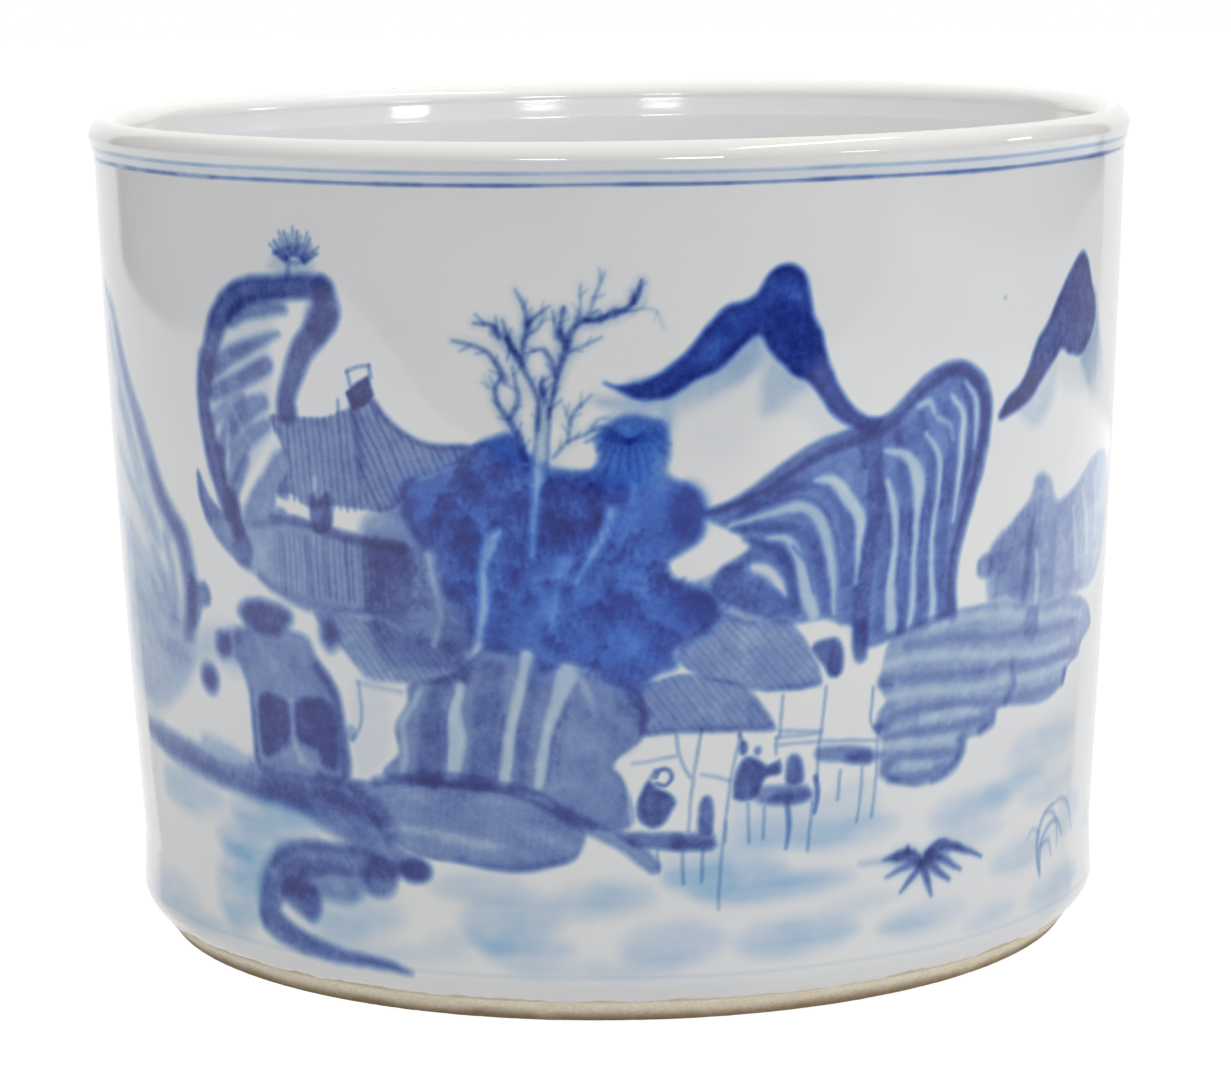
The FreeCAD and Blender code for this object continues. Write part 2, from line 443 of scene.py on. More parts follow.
def overhanging_rock(b):
    """Leaning rock with a thick outline, leaf-like strokes inside and a tuft of needles on top."""
    b.fill([(-76, 89), (-82, 104), (-83, 114), (-79, 125), (-71, 131), (-62, 131), (-64, 124), (-65, 110),
            (-64, 102), (-69, 92)], 0.09, soft=1.2)
    b.line([(-75.5, 88.5, 3.6), (-78, 94, 4.6), (-80.6, 100, 4.4), (-82.0, 105.5, 4.1), (-83.0, 111, 3.6),
            (-82.2, 116.5, 4.5), (-80.0, 121.5, 4.2), (-77.8, 126, 4.8), (-74.2, 129.8, 5.2),
            (-69.3, 132.3, 4.7),
            (-63, 133.2, 4.3), (-57, 134.0, 4.5), (-52.8, 133.8, 4.8)], 4.4, 0.88, soft=0.8)
    b.line([(-52.1, 133.4, 4.8), (-51.8, 129.5, 5.6), (-54.0, 126.2, 5.2), (-57.4, 122.2, 4.6),
            (-60.0, 117.2, 4.0), (-61.4, 113.2, 3.8), (-61.4, 110.8, 4.4)], 4.4, 0.86, soft=0.8)
    b.fill([(-55.4, 130.5), (-52.6, 132), (-50.2, 130), (-50.8, 127), (-53, 124.6), (-56, 126)], 0.60,
           soft=1.2)
    b.line([(-82.4, 119, 3.6), (-82.0, 114.2, 3.8)], 3.6, 0.35, soft=0.9)
    b.line([(-61.4, 114, 3.0), (-61.2, 111, 3.6)], 3.6, 0.25, soft=0.9)
    leafs = (
        ([(-73.8, 127.2, 3.4), (-70.0, 129.0, 3.6), (-66, 129.4, 3.2), (-61.0, 129.7, 1.8)], 0.52),
        ([(-80.4, 117.2, 4.0), (-75.5, 119.8, 3.6), (-70.5, 122.0, 3.0), (-66, 123.8, 2.0),
          (-62.6, 125.0, 0.9)], 0.62),
        ([(-80.0, 113.0, 3.0), (-74.2, 115.2, 3.4), (-69.0, 117.6, 3.6), (-65.8, 119.2, 3.2)], 0.66),
        ([(-80.6, 107.6, 2.6), (-76.4, 110.6, 3.2), (-72.2, 112.8, 2.2)], 0.36),
        ([(-78.4, 102.6, 3.4), (-75.4, 107.0, 4.0), (-71.2, 110.4, 4.4), (-67.2, 112.2, 3.2)], 0.56),
        ([(-76.4, 98.0, 3.4), (-74.0, 102.4, 3.8), (-70.6, 105.8, 3.6), (-66.6, 108.0, 2.4)], 0.46),
        ([(-75.4, 93.0, 2.4), (-74.2, 98.0, 3.0), (-72.2, 101.6, 2.0)], 0.50),
        ([(-77.2, 91.5, 2.6), (-77.8, 97.0, 2.2), (-78.6, 102.6, 1.4)], 0.55),
    )
    for points, ink in leafs:
        b.line(points, 2.4, ink, soft=0.8)
    for points in ([(-74, 120.6, 1.6), (-69.6, 122.6, 1.2)], [(-72.4, 116.2, 1.8), (-67.4, 118.6, 1.6)],
                   [(-80.0, 117.4, 1.8), (-77, 118.6, 1.4)], [(-75.6, 106.8, 1.2), (-71.4, 110.4, 1.0)]):
        b.line(points, 1.5, 0.34, soft=0.7)
    b.lift([(-76.2, 107.5, 0.7), (-76.8, 102, 1.0), (-77.2, 96.5, 0.9)], 0.8, 0.55, soft=0.7)
    b.lift([(-74.8, 110.5, 0.6), (-72.4, 106.8, 0.8), (-70.4, 104.2, 0.6)], 0.7, 0.35, soft=0.7)
    b.lift([(-64.2, 106.2, 1.2), (-67.6, 102.2, 1.8), (-71.0, 97.8, 1.9), (-74.0, 93.8, 1.6)], 1.6, 0.92,
           soft=0.7)
    b.fill([(-61.6, 104), (-64.5, 103), (-67.6, 99.6), (-71.6, 94.6), (-73, 89.8), (-64, 90.6),
            (-62, 97)], 0.50)
    b.line([(-75.8, 94.5, 2.2), (-75.6, 91, 3.2), (-74.8, 88.4, 2.4)], 3.0, 0.62, soft=0.9)
    tuft(b, -58.2, 138.6)


def tuft(b, along, up):
    """A fan of fine needles over a pale smudge."""
    b.fill([(along - 6, up - 2), (along - 3, up + 1), (along + 4, up), (along + 3, up - 2.6),
            (along - 2, up - 3)], 0.13, soft=1.0)
    b.line([(along - 1.6, up - 3.6), (along - 1.4, up - 0.6)], 0.8, 0.42)
    for k in range(15):
        lean = math.radians(14 + 152 * k / 14)
        reach = 5.3 + 0.7 * math.sin(k * 2.1)
        foot = (along + 2.2 * math.cos(lean), up + 1.6 * math.sin(lean) - 0.8)
        tip = (along + reach * math.cos(lean), up + reach * 0.96 * math.sin(lean))
        b.line([(*foot, 0.7), (*tip, 0.35)], 0.5, 0.46 if k % 3 else 0.7, soft=0.35)
    for along_share, rise in ((-3.6, 1.4), (-1.4, 2.2), (1.0, 2.4), (3.4, 1.6)):
        b.line([(along + along_share - 0.8, up + rise - 0.6, 0.7),
                (along + along_share + 0.8, up + rise, 0.7)], 0.7, 0.35, soft=0.4)
    b.line([(along - 3.8, up + 1.0, 0.5), (along - 1.8, up - 0.3, 0.8), (along + 0.4, up - 0.7, 0.9),
            (along + 3.0, up + 0.6, 0.6)], 0.8, 0.42, soft=0.5)


def spiky_leaf(b):
    """The dark spur at the foot of the leaning rock."""
    b.fill([(-86.2, 98), (-86.4, 93.5), (-84.6, 89.2), (-81.6, 86), (-77.6, 83.2), (-73, 81.6), (-72, 86),
            (-76, 90.4), (-80, 91.6), (-83.4, 94)], 0.5, soft=0.55)
    b.line([(-86.1, 97.4, 0.8), (-85.6, 93, 1.6), (-83.4, 89.4, 1.4)], 1.2, 0.28)


def pavilion(b):
    """Two-storey pavilion: tiled roof, white eave gaps, a dark post and a boarded wall."""
    roof = [(-65.5, 109.8), (-60, 110.2), (-53, 110.6), (-49, 112), (-46, 113.4), (-43.2, 114.6),
            (-40.2, 110.8),
            (-36.2, 108), (-32, 106.7), (-27, 106.4), (-22, 107.2), (-25, 104.2), (-31, 101.8), (-35.6, 99.8),
            (-38, 96.4), (-40.4, 94.2), (-46, 94.4), (-53, 94.6), (-57.4, 94), (-61, 96), (-64.6, 96.4),
            (-61.8, 101), (-63.6, 106)]
    b.fill(roof, 0.42, soft=0.4)
    left_tiles = [(-66, 109.6), (-60, 110.2), (-53, 110.8), (-48.4, 112), (-46.6, 104), (-45.2, 94.6),
                  (-57, 94), (-64.2, 96.6), (-61.6, 102)]
    b.hatch(left_tiles, -4, 1.45, 0.55, 0.42)
    right_tiles = [(-47.6, 112.6), (-43.6, 114.4), (-40.4, 110.8), (-36.2, 108), (-31, 106.6), (-24, 106.4),
                   (-26, 104), (-32, 101.4), (-36, 99.6), (-38.4, 95.4), (-45, 94.6), (-46.8, 104)]
    b.hatch(right_tiles, -24, 1.5, 0.6, 0.44)
    b.line([(-46.8, 113.2, 1.6), (-46.2, 107, 1.2), (-45.6, 100, 1.0)], 1.2, 0.36)
    b.line([(-43.4, 114.4, 1.2), (-40.4, 110.7, 1.0), (-36.4, 107.8, 1.0), (-31.6, 106.4, 1.0),
            (-26, 106.2, 1.2)], 1.0, 0.42)
    b.fill([(-48.2, 115.4), (-46.4, 116.9), (-43.6, 118.4), (-42.8, 115.2), (-44.4, 113.2),
            (-46.8, 112.2)], 1.15, soft=0.35, smooth=False)
    for line in ([(-47.9, 119.1), (-47.2, 116.6)], [(-47.9, 119.1), (-45.8, 120.0), (-43.4, 120.4)],
                 [(-43.4, 120.4), (-43.1, 118.2)], [(-50.0, 113.8), (-49.9, 111.6)]):
        b.line(line, 0.5, 0.4, soft=0.3)
    wall = [(-77, 88), (-72, 90.2), (-60, 91), (-50, 89), (-38, 88.4), (-36.4, 84), (-38, 75.2), (-46, 75.2),
            (-54, 75.6), (-61, 76.8), (-67, 78.2), (-71, 80), (-76, 82.4)]
    b.fill(wall, 0.34)
    b.hatch([(-66, 89.4), (-40, 88), (-40, 76), (-66, 78)], 0, 1.25, 0.5, 0.30, smooth=False)
    for k in range(5):
        along = -64 + 5.1 * k + math.sin(k * 1.7)
        b.line([(along, 88.6), (along + 0.2, 77.6)], 0.7, 0.26, soft=0.4)
    b.line([(-66, 91.4, 1.8), (-60, 91.2, 1.8), (-53, 89.8, 2.0), (-46, 88.6, 2.0),
            (-38, 87.6, 1.8)], 1.8, 0.55)
    b.clear([(-65, 95.7), (-57.2, 93.1), (-57.2, 91.7), (-65.1, 93.7)], 0.95, soft=0.35, smooth=False)
    b.clear([(-52.7, 93.6), (-40.4, 93.7), (-40.2, 91.4), (-52.7, 90.9)], 0.95, soft=0.35, smooth=False)
    b.fill([(-57, 96.4), (-55.4, 95.4), (-52.8, 97), (-52.7, 90.4), (-56.6, 90)], 0.72, soft=0.4)
    b.lift([(-55.8, 99.2), (-56.0, 97.4)], 0.8, 0.6)
    b.line([(-70, 80.0, 1.0), (-66.5, 78.0, 1.6), (-61, 76.4, 2.2), (-55, 75.4, 2.0),
            (-47, 75.3, 1.2)], 1.6, 0.40, soft=0.8)
    b.fill([(-44, 90), (-37, 89), (-33.4, 86), (-32, 80), (-31.6, 74), (-33.6, 70), (-45.4, 71),
            (-45.6, 80)], 0.24, soft=1.4)
    b.leaves([(-45, 88), (-34, 87), (-32, 72), (-45, 72)], 70, 2.4, 0.7, 0.20, seed=11)


def house(b):
    """Small gabled house beside the pavilion, with two dark openings and round bushes by it."""
    b.fill([(-77, 69.4), (-70, 70.6), (-60.4, 70.4), (-57.4, 66), (-53.6, 61), (-52.2, 55), (-51.6, 44.4),
            (-58, 42.6),
            (-66, 42.4), (-73.8, 43.2), (-74.6, 50), (-74.8, 57), (-77, 62.2), (-78.4, 63.6),
            (-78.4, 67.6)], 0.40)
    b.fill([(-80, 68.6), (-74, 69), (-72, 64), (-77.4, 62.6), (-80.6, 64)], 0.16, soft=1.2)
    b.fill([(-76.6, 73), (-74.2, 75.2), (-69, 75.6), (-63.4, 74.4), (-62.9, 72.6), (-66, 70), (-70, 69.2),
            (-74, 69.8), (-75.8, 71.4)], 0.58, soft=1.0)
    b.fill([(-74, 74), (-68.6, 74.8), (-64.0, 73.6), (-66, 71.2), (-70, 70.2), (-74, 71.4)], 0.42, soft=1.2)
    b.fill([(-96, 67), (-86, 69), (-77, 69), (-77, 61), (-86, 62), (-96, 60)], 0.10, soft=2.2)
    b.line([(-57.6, 64.6, 2.0), (-54.2, 60.4, 2.2), (-52.8, 54, 2.0), (-52.6, 45, 2.0)], 2.0, 0.40, soft=0.8)
    b.line([(-74.2, 58, 1.0), (-73.9, 45, 1.2)], 1.0, 0.30, soft=0.7)
    b.fill([(-72.2, 57), (-64.9, 57), (-64.8, 51), (-66.0, 48.6), (-72.3, 46.6)], 0.66, soft=0.8)
    b.fill([(-63, 57.4), (-54.6, 57.6), (-54, 46.4), (-57, 45.6), (-58.8, 49), (-63, 50.2)], 0.66, soft=0.8)
    b.fill([(-71.4, 56.6), (-68, 56.6), (-68.6, 49), (-71.8, 48.6)], 0.24, soft=1.2)
    b.fill([(-60, 57), (-55.4, 57), (-54.8, 49), (-58.4, 51)], 0.28, soft=1.2)
    b.lift([(-73.2, 57, 0.7), (-73.0, 46, 0.7)], 0.8, 0.35, soft=0.6)
    b.lift([(-64.2, 57.4, 0.7), (-63.9, 50, 0.9), (-62.6, 46.6, 2.0)], 0.8, 0.35, soft=0.7)
    for along, up, wide, tall in ((-81.6, 65.6, 2.6, 2.3), (-87.2, 58.6, 3.0, 2.8), (-54.4, 70.8, 2.1, 3.0)):
        b.dot(along, up, wide, tall, 0.56, soft=1.2)
        b.dot(along, up, 0.5 * wide, 0.5 * tall, 0.36, soft=1.0)
    b.fill([(-84, 67.6), (-80, 68.8), (-77, 69.4), (-77, 67), (-81, 66)], 0.28, soft=0.9)
    side_roof = [(-57.4, 74.4), (-50, 74.6), (-44, 73.6), (-37, 72), (-29, 70.4), (-26.4, 66.6), (-27, 63.2),
                 (-37, 63.2), (-45.6, 63.2), (-48.6, 65.2), (-51.4, 68)]
    b.fill(side_roof, 0.33)
    b.hatch(side_roof, -38, 1.7, 0.5, 0.22)
    b.line([(-48.8, 62.6), (-48.2, 57.4), (-48.6, 54.4), (-50.6, 51.6)], 0.5, 0.25, soft=0.4)
    b.line([(-48.4, 62.4), (-40, 61.4)], 0.6, 0.18, soft=0.6)
    b.dot(-50.6, 52.8, 0.9, 1.5, 0.26)
    b.fill([(-50, 62), (-45, 62.6), (-42, 58), (-43, 50), (-46, 46), (-50, 46)], 0.16, soft=1.2,
           layer="water")


def leaf_fans(b, outline, count, length, ink, seed):
    """Small fans of hanging leaves scattered inside an outline."""
    rng = np.random.default_rng(seed)
    p = np.array(outline, float)
    low, high = p.min(axis=0), p.max(axis=0)
    placed = 0
    while placed < count:
        at = rng.uniform(low, high)
        lean = rng.normal(-math.pi / 2, 0.5)
        reach = length * rng.uniform(0.7, 1.25)
        strength = ink * rng.uniform(0.5, 1.25)
        leaves = int(rng.integers(4, 7))
        if not inside_outline(at, p):
            continue
        placed += 1
        for k in range(leaves):
            angle = lean + (k / (leaves - 1) - 0.5) * 1.9
            middle = at + 0.5 * reach * np.array([math.cos(angle), math.sin(angle)])
            tip = middle + 0.5 * reach * np.array([math.cos(angle) * 0.7, math.sin(angle) - 0.35])
            b.line([(*at, 0.4), (*middle, 0.95), (*tip, 0.25)], 0.9, strength, soft=0.4, pool=0.0)


def foliage(b):
    """The great mass of willow and leaf in the middle, with pale trunks left between its strokes."""
    mass = [(-38, 99.4), (-33, 101), (-27, 104), (-22.6, 107.6), (-17.6, 109), (-15.6, 106.4), (-13, 104.6),
            (-10.4, 102.8), (-7, 102.2), (-4, 102.6), (-2.4, 105.4), (-3, 107.6), (-1, 110.6), (2.4, 112.2),
            (6, 111.8), (9.2, 110.4), (9.8, 106), (9.4, 101.8), (13.4, 99.6), (15.6, 96.6), (15.9, 93),
            (15.2, 90),
            (12.4, 87.6), (9.9, 86), (9.6, 83.6), (13.8, 81.2), (17.6, 79.6), (18.4, 76), (16.4, 73.2),
            (13, 71.4),
            (10.4, 69.6), (11, 66.8), (7.4, 65.6), (4.2, 63), (0.4, 63.8), (-3, 65.8), (-6, 66.8), (-9, 67.4),
            (-13, 66), (-15.6, 69.4), (-22, 70), (-25.4, 72), (-27, 77), (-30.4, 80.4), (-31.6, 86.6),
            (-35, 88.6), (-37.6, 93)]
    b.fill(mass, 0.64, soft=0.8, blot=0.10)
    b.fill(mass, 1.0, soft=3.0, pool=0.0, blot=0.0, layer="vivid")
    b.fill([(-46, 92), (-38, 95), (-33, 90), (-29, 82), (-25, 72), (-26, 66), (-36, 66), (-44, 68),
            (-46, 80)], 0.36, soft=1.4)
    b.fill([(-31.6, 86), (-29, 80), (-26, 76), (-25, 70), (-31.6, 70), (-32.4, 78)], 0.42, soft=0.9)
    core = [(-24, 105), (-16, 104), (-9, 101), (2, 98), (9, 96), (13, 92), (9, 80), (12, 74), (2, 66),
            (-10, 70), (-20, 74), (-28, 82), (-33, 92), (-30, 99)]
    rng = np.random.default_rng(14)
    for _ in range(34):
        along, up = rng.uniform(-34, 14), rng.uniform(66, 104)
        if inside_outline((along, up), np.array(core)):
            b.lift([(along, up, 2.4), (along + rng.uniform(-3, 3), up - rng.uniform(1, 5), 1.6)], 2.0,
                   rng.uniform(0.06, 0.22), soft=1.8)
    leaf_fans(b, core, 96, 3.8, 0.24, 3)
    leaf_fans(b, [(-36, 98), (-26, 104), (-18, 107), (-14, 100), (-20, 90), (-31, 90)], 30, 4.4, 0.34, 5)
    leaf_fans(b, [(-12, 101), (-4, 101), (-2, 94), (-8, 90), (-13, 95)], 20, 4.2, 0.42, 6)
    for along, up, wide, tall, ink in (
            (-37.2, 95.6, 1.6, 2.2, 0.62), (13.0, 94.6, 2.7, 5.0, 0.62), (11.0, 90.6, 3.0, 2.4, 0.34),
            (15.0, 76.6, 3.0, 3.6, 0.66), (10.4, 79.0, 3.0, 2.4, 0.26), (-8.0, 99.2, 4.4, 3.4, 0.36),
            (1.4, 98, 1.6, 2.0, 0.40), (-21.5, 102.6, 5.0, 3.2, 0.32), (8.6, 71.6, 3.4, 2.6, 0.40),
            (2.2, 66.6, 3.8, 2.6, 0.40), (-20.5, 73.2, 4.2, 3.0, 0.34), (-28.6, 88, 3.0, 4.6, 0.26),
            (-29, 96, 4.0, 3.0, 0.14), (3.6, 78, 4.5, 3.5, 0.20), (-9.5, 72.6, 4.0, 3.4, 0.22),
            (-15.6, 88, 3.0, 8.0, 0.20), (-3.0, 97.0, 2.0, 4.0, 0.2), (5.4, 90.0, 2.4, 4.4, 0.16)):
        b.dot(along, up, wide, tall, 0.9 * ink, soft=1.9)
    for k in range(13):
        angle = math.radians(-196 + 17.5 * k)
        reach = 7.0 + 1.2 * math.sin(k * 1.9)
        heart = (2.8, 107.6)
        middle = (heart[0] + 3.6 * math.cos(angle), heart[1] + 2.6 * math.sin(angle) + 1.4)
        tip = (heart[0] + 0.9 * reach * math.cos(angle), heart[1] + reach * 0.95 * math.sin(angle))
        b.line([(*heart, 0.4), (*middle, 0.8), (*tip, 0.4)], 0.8, 0.42, soft=0.4, pool=0.0)
    for points, amount in (
            ([(-20.2, 91.4, 1.6), (-21.8, 89.4, 2.8), (-23.2, 85, 2.0), (-23.2, 79, 1.8), (-24.2, 73, 1.8),
              (-25, 69.4, 1.4)], 0.66),
            ([(-33.4, 86.6, 0.9), (-32.2, 81, 1.2), (-31.6, 76, 1.1), (-33, 70.6, 1.0)], 0.55),
            ([(-13.0, 105.4, 1.9), (-13.2, 99, 1.7), (-13.9, 93.4, 1.3), (-14.0, 87, 0.8)], 0.66),
            ([(-0.4, 95.2, 2.0), (-2.2, 90, 1.6), (-4.8, 85.8, 1.2), (-6.6, 82.4, 0.6)], 0.58),
            ([(3.6, 99.8, 0.9), (3.0, 96.8, 0.8)], 0.45),
            ([(-8.6, 86, 2.6), (-10.4, 80, 2.0), (-11, 74, 1.4)], 0.30)):
        b.lift(points, 1.4, amount, soft=0.7)
    for points in ([(-27.6, 96.4, 5.0), (-24, 94.6, 4.0)], [(3.0, 84.6, 5.0), (6.4, 81.4, 4.0)],
                   [(-13.4, 83.0, 4.0), (-12.4, 77, 3.0)], [(7.0, 104.0, 4.0), (8.0, 100.0, 4.0)]):
        b.lift(points, 3.0, 0.24, soft=2.0)
    b.clear([(-9.4, 106.6), (-3.4, 106), (-3.6, 102.9), (-9.0, 103.4)], 0.95)
    b.leaves([(6, 86), (12, 84), (17, 80), (12, 77), (6, 80)], 26, 3.4, 1.0, 0.22, seed=7)


def trunks(b):
    """Below the leaves: pale trunks left bare between blue bands, and the washed slope beside them."""
    b.fill([(-43, 45), (-40.8, 50), (-41.2, 55), (-38.6, 59.6), (-38.2, 63), (-30, 65), (-22, 71),
            (-12, 67.6),
            (-4, 66), (4, 63), (5.6, 58), (4, 52), (0.2, 50), (1.6, 46), (2.6, 41.6), (2.4, 37.6), (-4, 37),
            (-10, 40), (-16, 43.4)], 0.50, soft=0.5)
    for points, ink in (
            ([(-34.8, 46, 5.0), (-34.4, 52, 5.0), (-33.4, 58, 4.0), (-31.6, 63, 3.4)], 0.34),
            ([(-24.6, 46, 4.8), (-24.2, 52, 4.8), (-23.4, 58, 4.6), (-22, 66, 5.0)], 0.34),
            ([(-17.4, 46, 2.2), (-16.8, 52, 2.4), (-15.8, 58, 2.4), (-14, 66, 2.6)], 0.22),
            ([(-10.6, 46, 0.9), (-10.0, 54, 0.9), (-8.6, 61, 0.9)], 0.22),
            ([(2.0, 61, 5.0), (4.2, 58, 3.6)], 0.30)):
        b.line(points, 3.0, ink, soft=0.8, pool=0.1)
    for points, amount in (
            ([(-40.2, 47, 1.8), (-39.4, 51, 1.6), (-39.8, 55.6, 1.5), (-37.4, 59.6, 1.4),
              (-35.8, 62.6, 1.4)], 0.45),
            ([(-30.4, 46.8, 3.2), (-29.6, 50, 3.2), (-29.0, 54, 3.4), (-29.4, 58, 2.6),
              (-28.2, 63, 1.8)], 0.72),
            ([(-20.4, 46.0, 2.4), (-19.6, 50, 2.6), (-19.2, 55, 1.9), (-17.8, 60, 2.5), (-16.6, 65, 1.8),
              (-15.8, 69.2, 2.2)], 0.70),
            ([(-14.0, 45.0, 1.8), (-13.2, 50, 2.2), (-12.6, 55, 1.8), (-11.0, 60, 2.4),
              (-8.8, 65.2, 4.0)], 0.70), ([(-6.4, 65.6, 1.6), (-4.8, 61.6, 2.4), (-3.6, 58.6, 1.0)], 0.35)):
        b.lift(points, 2.2, amount, soft=0.6)
    for points in ([(-31.6, 47), (-31.2, 53), (-31.0, 57), (-29.6, 62)],
                   [(-22.0, 46.6), (-21.4, 52), (-20.2, 58)],
                   [(-18.8, 47), (-18.2, 52), (-17.2, 58), (-15.8, 63)],
                   [(-12.2, 46), (-11.6, 52), (-10.4, 57)]):
        b.line(points, 0.7, 0.30, soft=0.4)
    b.clear([(-0.4, 49.4), (5.6, 54), (10.4, 54.4), (13, 50), (2.8, 44.6), (2.6, 38), (1.6, 46)], 0.9)


def mound(b):
    """The hatched bank in front of the trunks, with a dark back and a tail to the right."""
    body = [(-52, 43.4), (-45, 44.4), (-38, 45.2), (-25, 45.2), (-14, 42.4), (-8, 39), (-5.6, 36.6),
            (-6.8, 32.8),
            (-9, 31), (-13, 30), (-18, 28.8), (-24, 29.3), (-30, 30.2), (-37, 31), (-42, 33), (-47, 36.6)]
    b.fill(body, 0.47, soft=0.5)
    b.hatch([(-44, 43), (-25, 44.4), (-12, 41), (-8, 36), (-10, 31.4), (-24, 30.4), (-38, 32)], 76,
            1.9, 0.7, 0.16)
    b.hatch([(-40, 43), (-25, 44), (-12, 40), (-10, 33), (-24, 31), (-38, 33)], 8, 1.5, 0.4, 0.10)
    b.line([(-46, 44.2, 2.0), (-38, 45.3, 2.4), (-30, 45.8, 2.4), (-23, 45.0, 2.5), (-16, 43.4, 2.6),
            (-10, 40.2, 2.8),
            (-4, 37.2, 2.8), (0.6, 34.8, 3.2), (4.4, 31.8, 3.2), (6.4, 30.0, 2.6)], 2.5, 0.48)
    b.line([(-30, 30.8, 1.0), (-22, 29.8, 1.8), (-15, 30.2, 1.8), (-10, 31.6, 1.0)], 1.6, 0.28, soft=0.7)
    b.lift([(-44.4, 35.2, 1.6), (-37, 35.6, 2.2), (-29, 34.6, 2.4), (-22.4, 33.6, 1.6)], 2.2, 0.40, soft=0.9)
    b.lift([(-16.6, 36.4, 2.2), (-11.4, 35.4, 2.8), (-8.8, 33.8, 1.6)], 2.2, 0.30, soft=1.0)
    b.fill([(0, 37), (6, 36), (12, 36), (12, 33.2), (6, 33.6), (1, 34.6)], 0.34, soft=0.5)


def shore(b):
    """Dark strand that runs from the left under the house and down to the curled rock."""
    b.line([(-117, 43.8, 3.0), (-109, 43.2, 4.6), (-101, 42.4, 5.2), (-93, 41.6, 5.0), (-85, 40.8, 4.8),
            (-76, 40.0, 5.2), (-67, 39.8, 5.4), (-59, 38.4, 6.4), (-53, 36.0, 7.4), (-48, 33.4, 7.4),
            (-43.4, 30.6, 5.4), (-39.4, 28.8, 4.2)], 5.0, 0.48, soft=1.5)
    b.line([(-112, 42.6, 2.0), (-98, 41.4, 2.6), (-86, 40.2, 2.8), (-74, 39.0, 2.8),
            (-62, 38.6, 2.6)], 2.0, 0.20, soft=1.3)
    b.line([(-90, 45.6, 3.0), (-82, 44.8, 3.4), (-76, 43.6, 3.0)], 3.0, 0.16, soft=1.5)
    b.line([(-60, 41.4, 1.4), (-52, 38.8, 2.2), (-45, 36.4, 1.6)], 1.8, 0.30, soft=1.2)
    b.fill([(-76, 44.5), (-66, 43.6), (-52, 43.4), (-46, 40), (-56, 37.6), (-70, 39)], 0.22, soft=1.6)
    b.line([(-58, 42.6, 4.0), (-51, 41.0, 4.6), (-46, 38.0, 4.6), (-43, 34.6, 3.6)], 4.0, 0.40, soft=1.0)
    b.dot(-38.6, 28.3, 3.4, 2.3, 0.62, soft=0.9)
    b.dot(-46.4, 25.9, 3.8, 3.6, 0.55, soft=1.1)


def curled_rock(b):
    """Arched rock in the water with a dark hollow and a long thin tail."""
    b.line([(-43.6, 27.6, 3.6), (-50, 28.2, 5.6), (-57, 28.2, 6.4), (-63, 27.4, 6.8), (-68.4, 25.2, 6.8),
            (-71.6, 21.4, 6.6), (-73.2, 17.4, 5.6), (-72.8, 14.8, 5.8), (-69.0, 12.8, 4.8),
            (-63.5, 11.2, 3.8),
            (-57, 10.5, 3.0), (-50, 10.1, 2.2), (-44.6, 9.6, 1.6), (-40, 8.7, 0.6)], 5.0, 0.54, soft=0.9)
    b.line([(-52, 30.4, 1.6), (-60, 30.4, 2.0), (-67, 28.8, 1.8), (-71.6, 25.2, 1.6)], 1.8, 0.22, soft=1.0)
    b.fill([(-69, 26.6), (-54, 27.2), (-49, 24.6), (-53, 20.6), (-60, 20.8), (-68, 20)], 0.40, soft=1.4)
    b.line([(-60, 31.0, 2.0), (-68, 29.4, 2.4), (-73.6, 24.6, 2.4), (-76, 18.4, 2.0), (-74.4, 13.6, 1.6)],
           2.0, 0.26, soft=1.2)
    b.fill([(-70.6, 22.6), (-65, 23.6), (-60.8, 22), (-60.2, 18.2), (-62.0, 15.8), (-65.6, 17.0),
            (-69.4, 19.0)], 0.62, soft=1.1)
    b.fill([(-68, 22), (-63.6, 22.4), (-62, 20.4), (-64, 18.8), (-67, 19.8)], 0.40, soft=1.2)
    b.line([(-72.2, 21, 3.0), (-73.0, 17, 3.0), (-71.0, 13.8, 2.6), (-65.6, 12.2, 1.8), (-58, 10.8, 1.2)],
           2.6, 0.24, soft=1.1)
    b.line([(-55, 10.4, 1.2), (-46, 9.9, 1.0), (-41, 8.9, 0.5)], 1.0, 0.22, soft=0.7)
    b.lift([(-68.0, 16.6, 0.8), (-66.0, 15.4, 1.2), (-64.0, 14.8, 0.8)], 1.0, 0.30, soft=0.9)


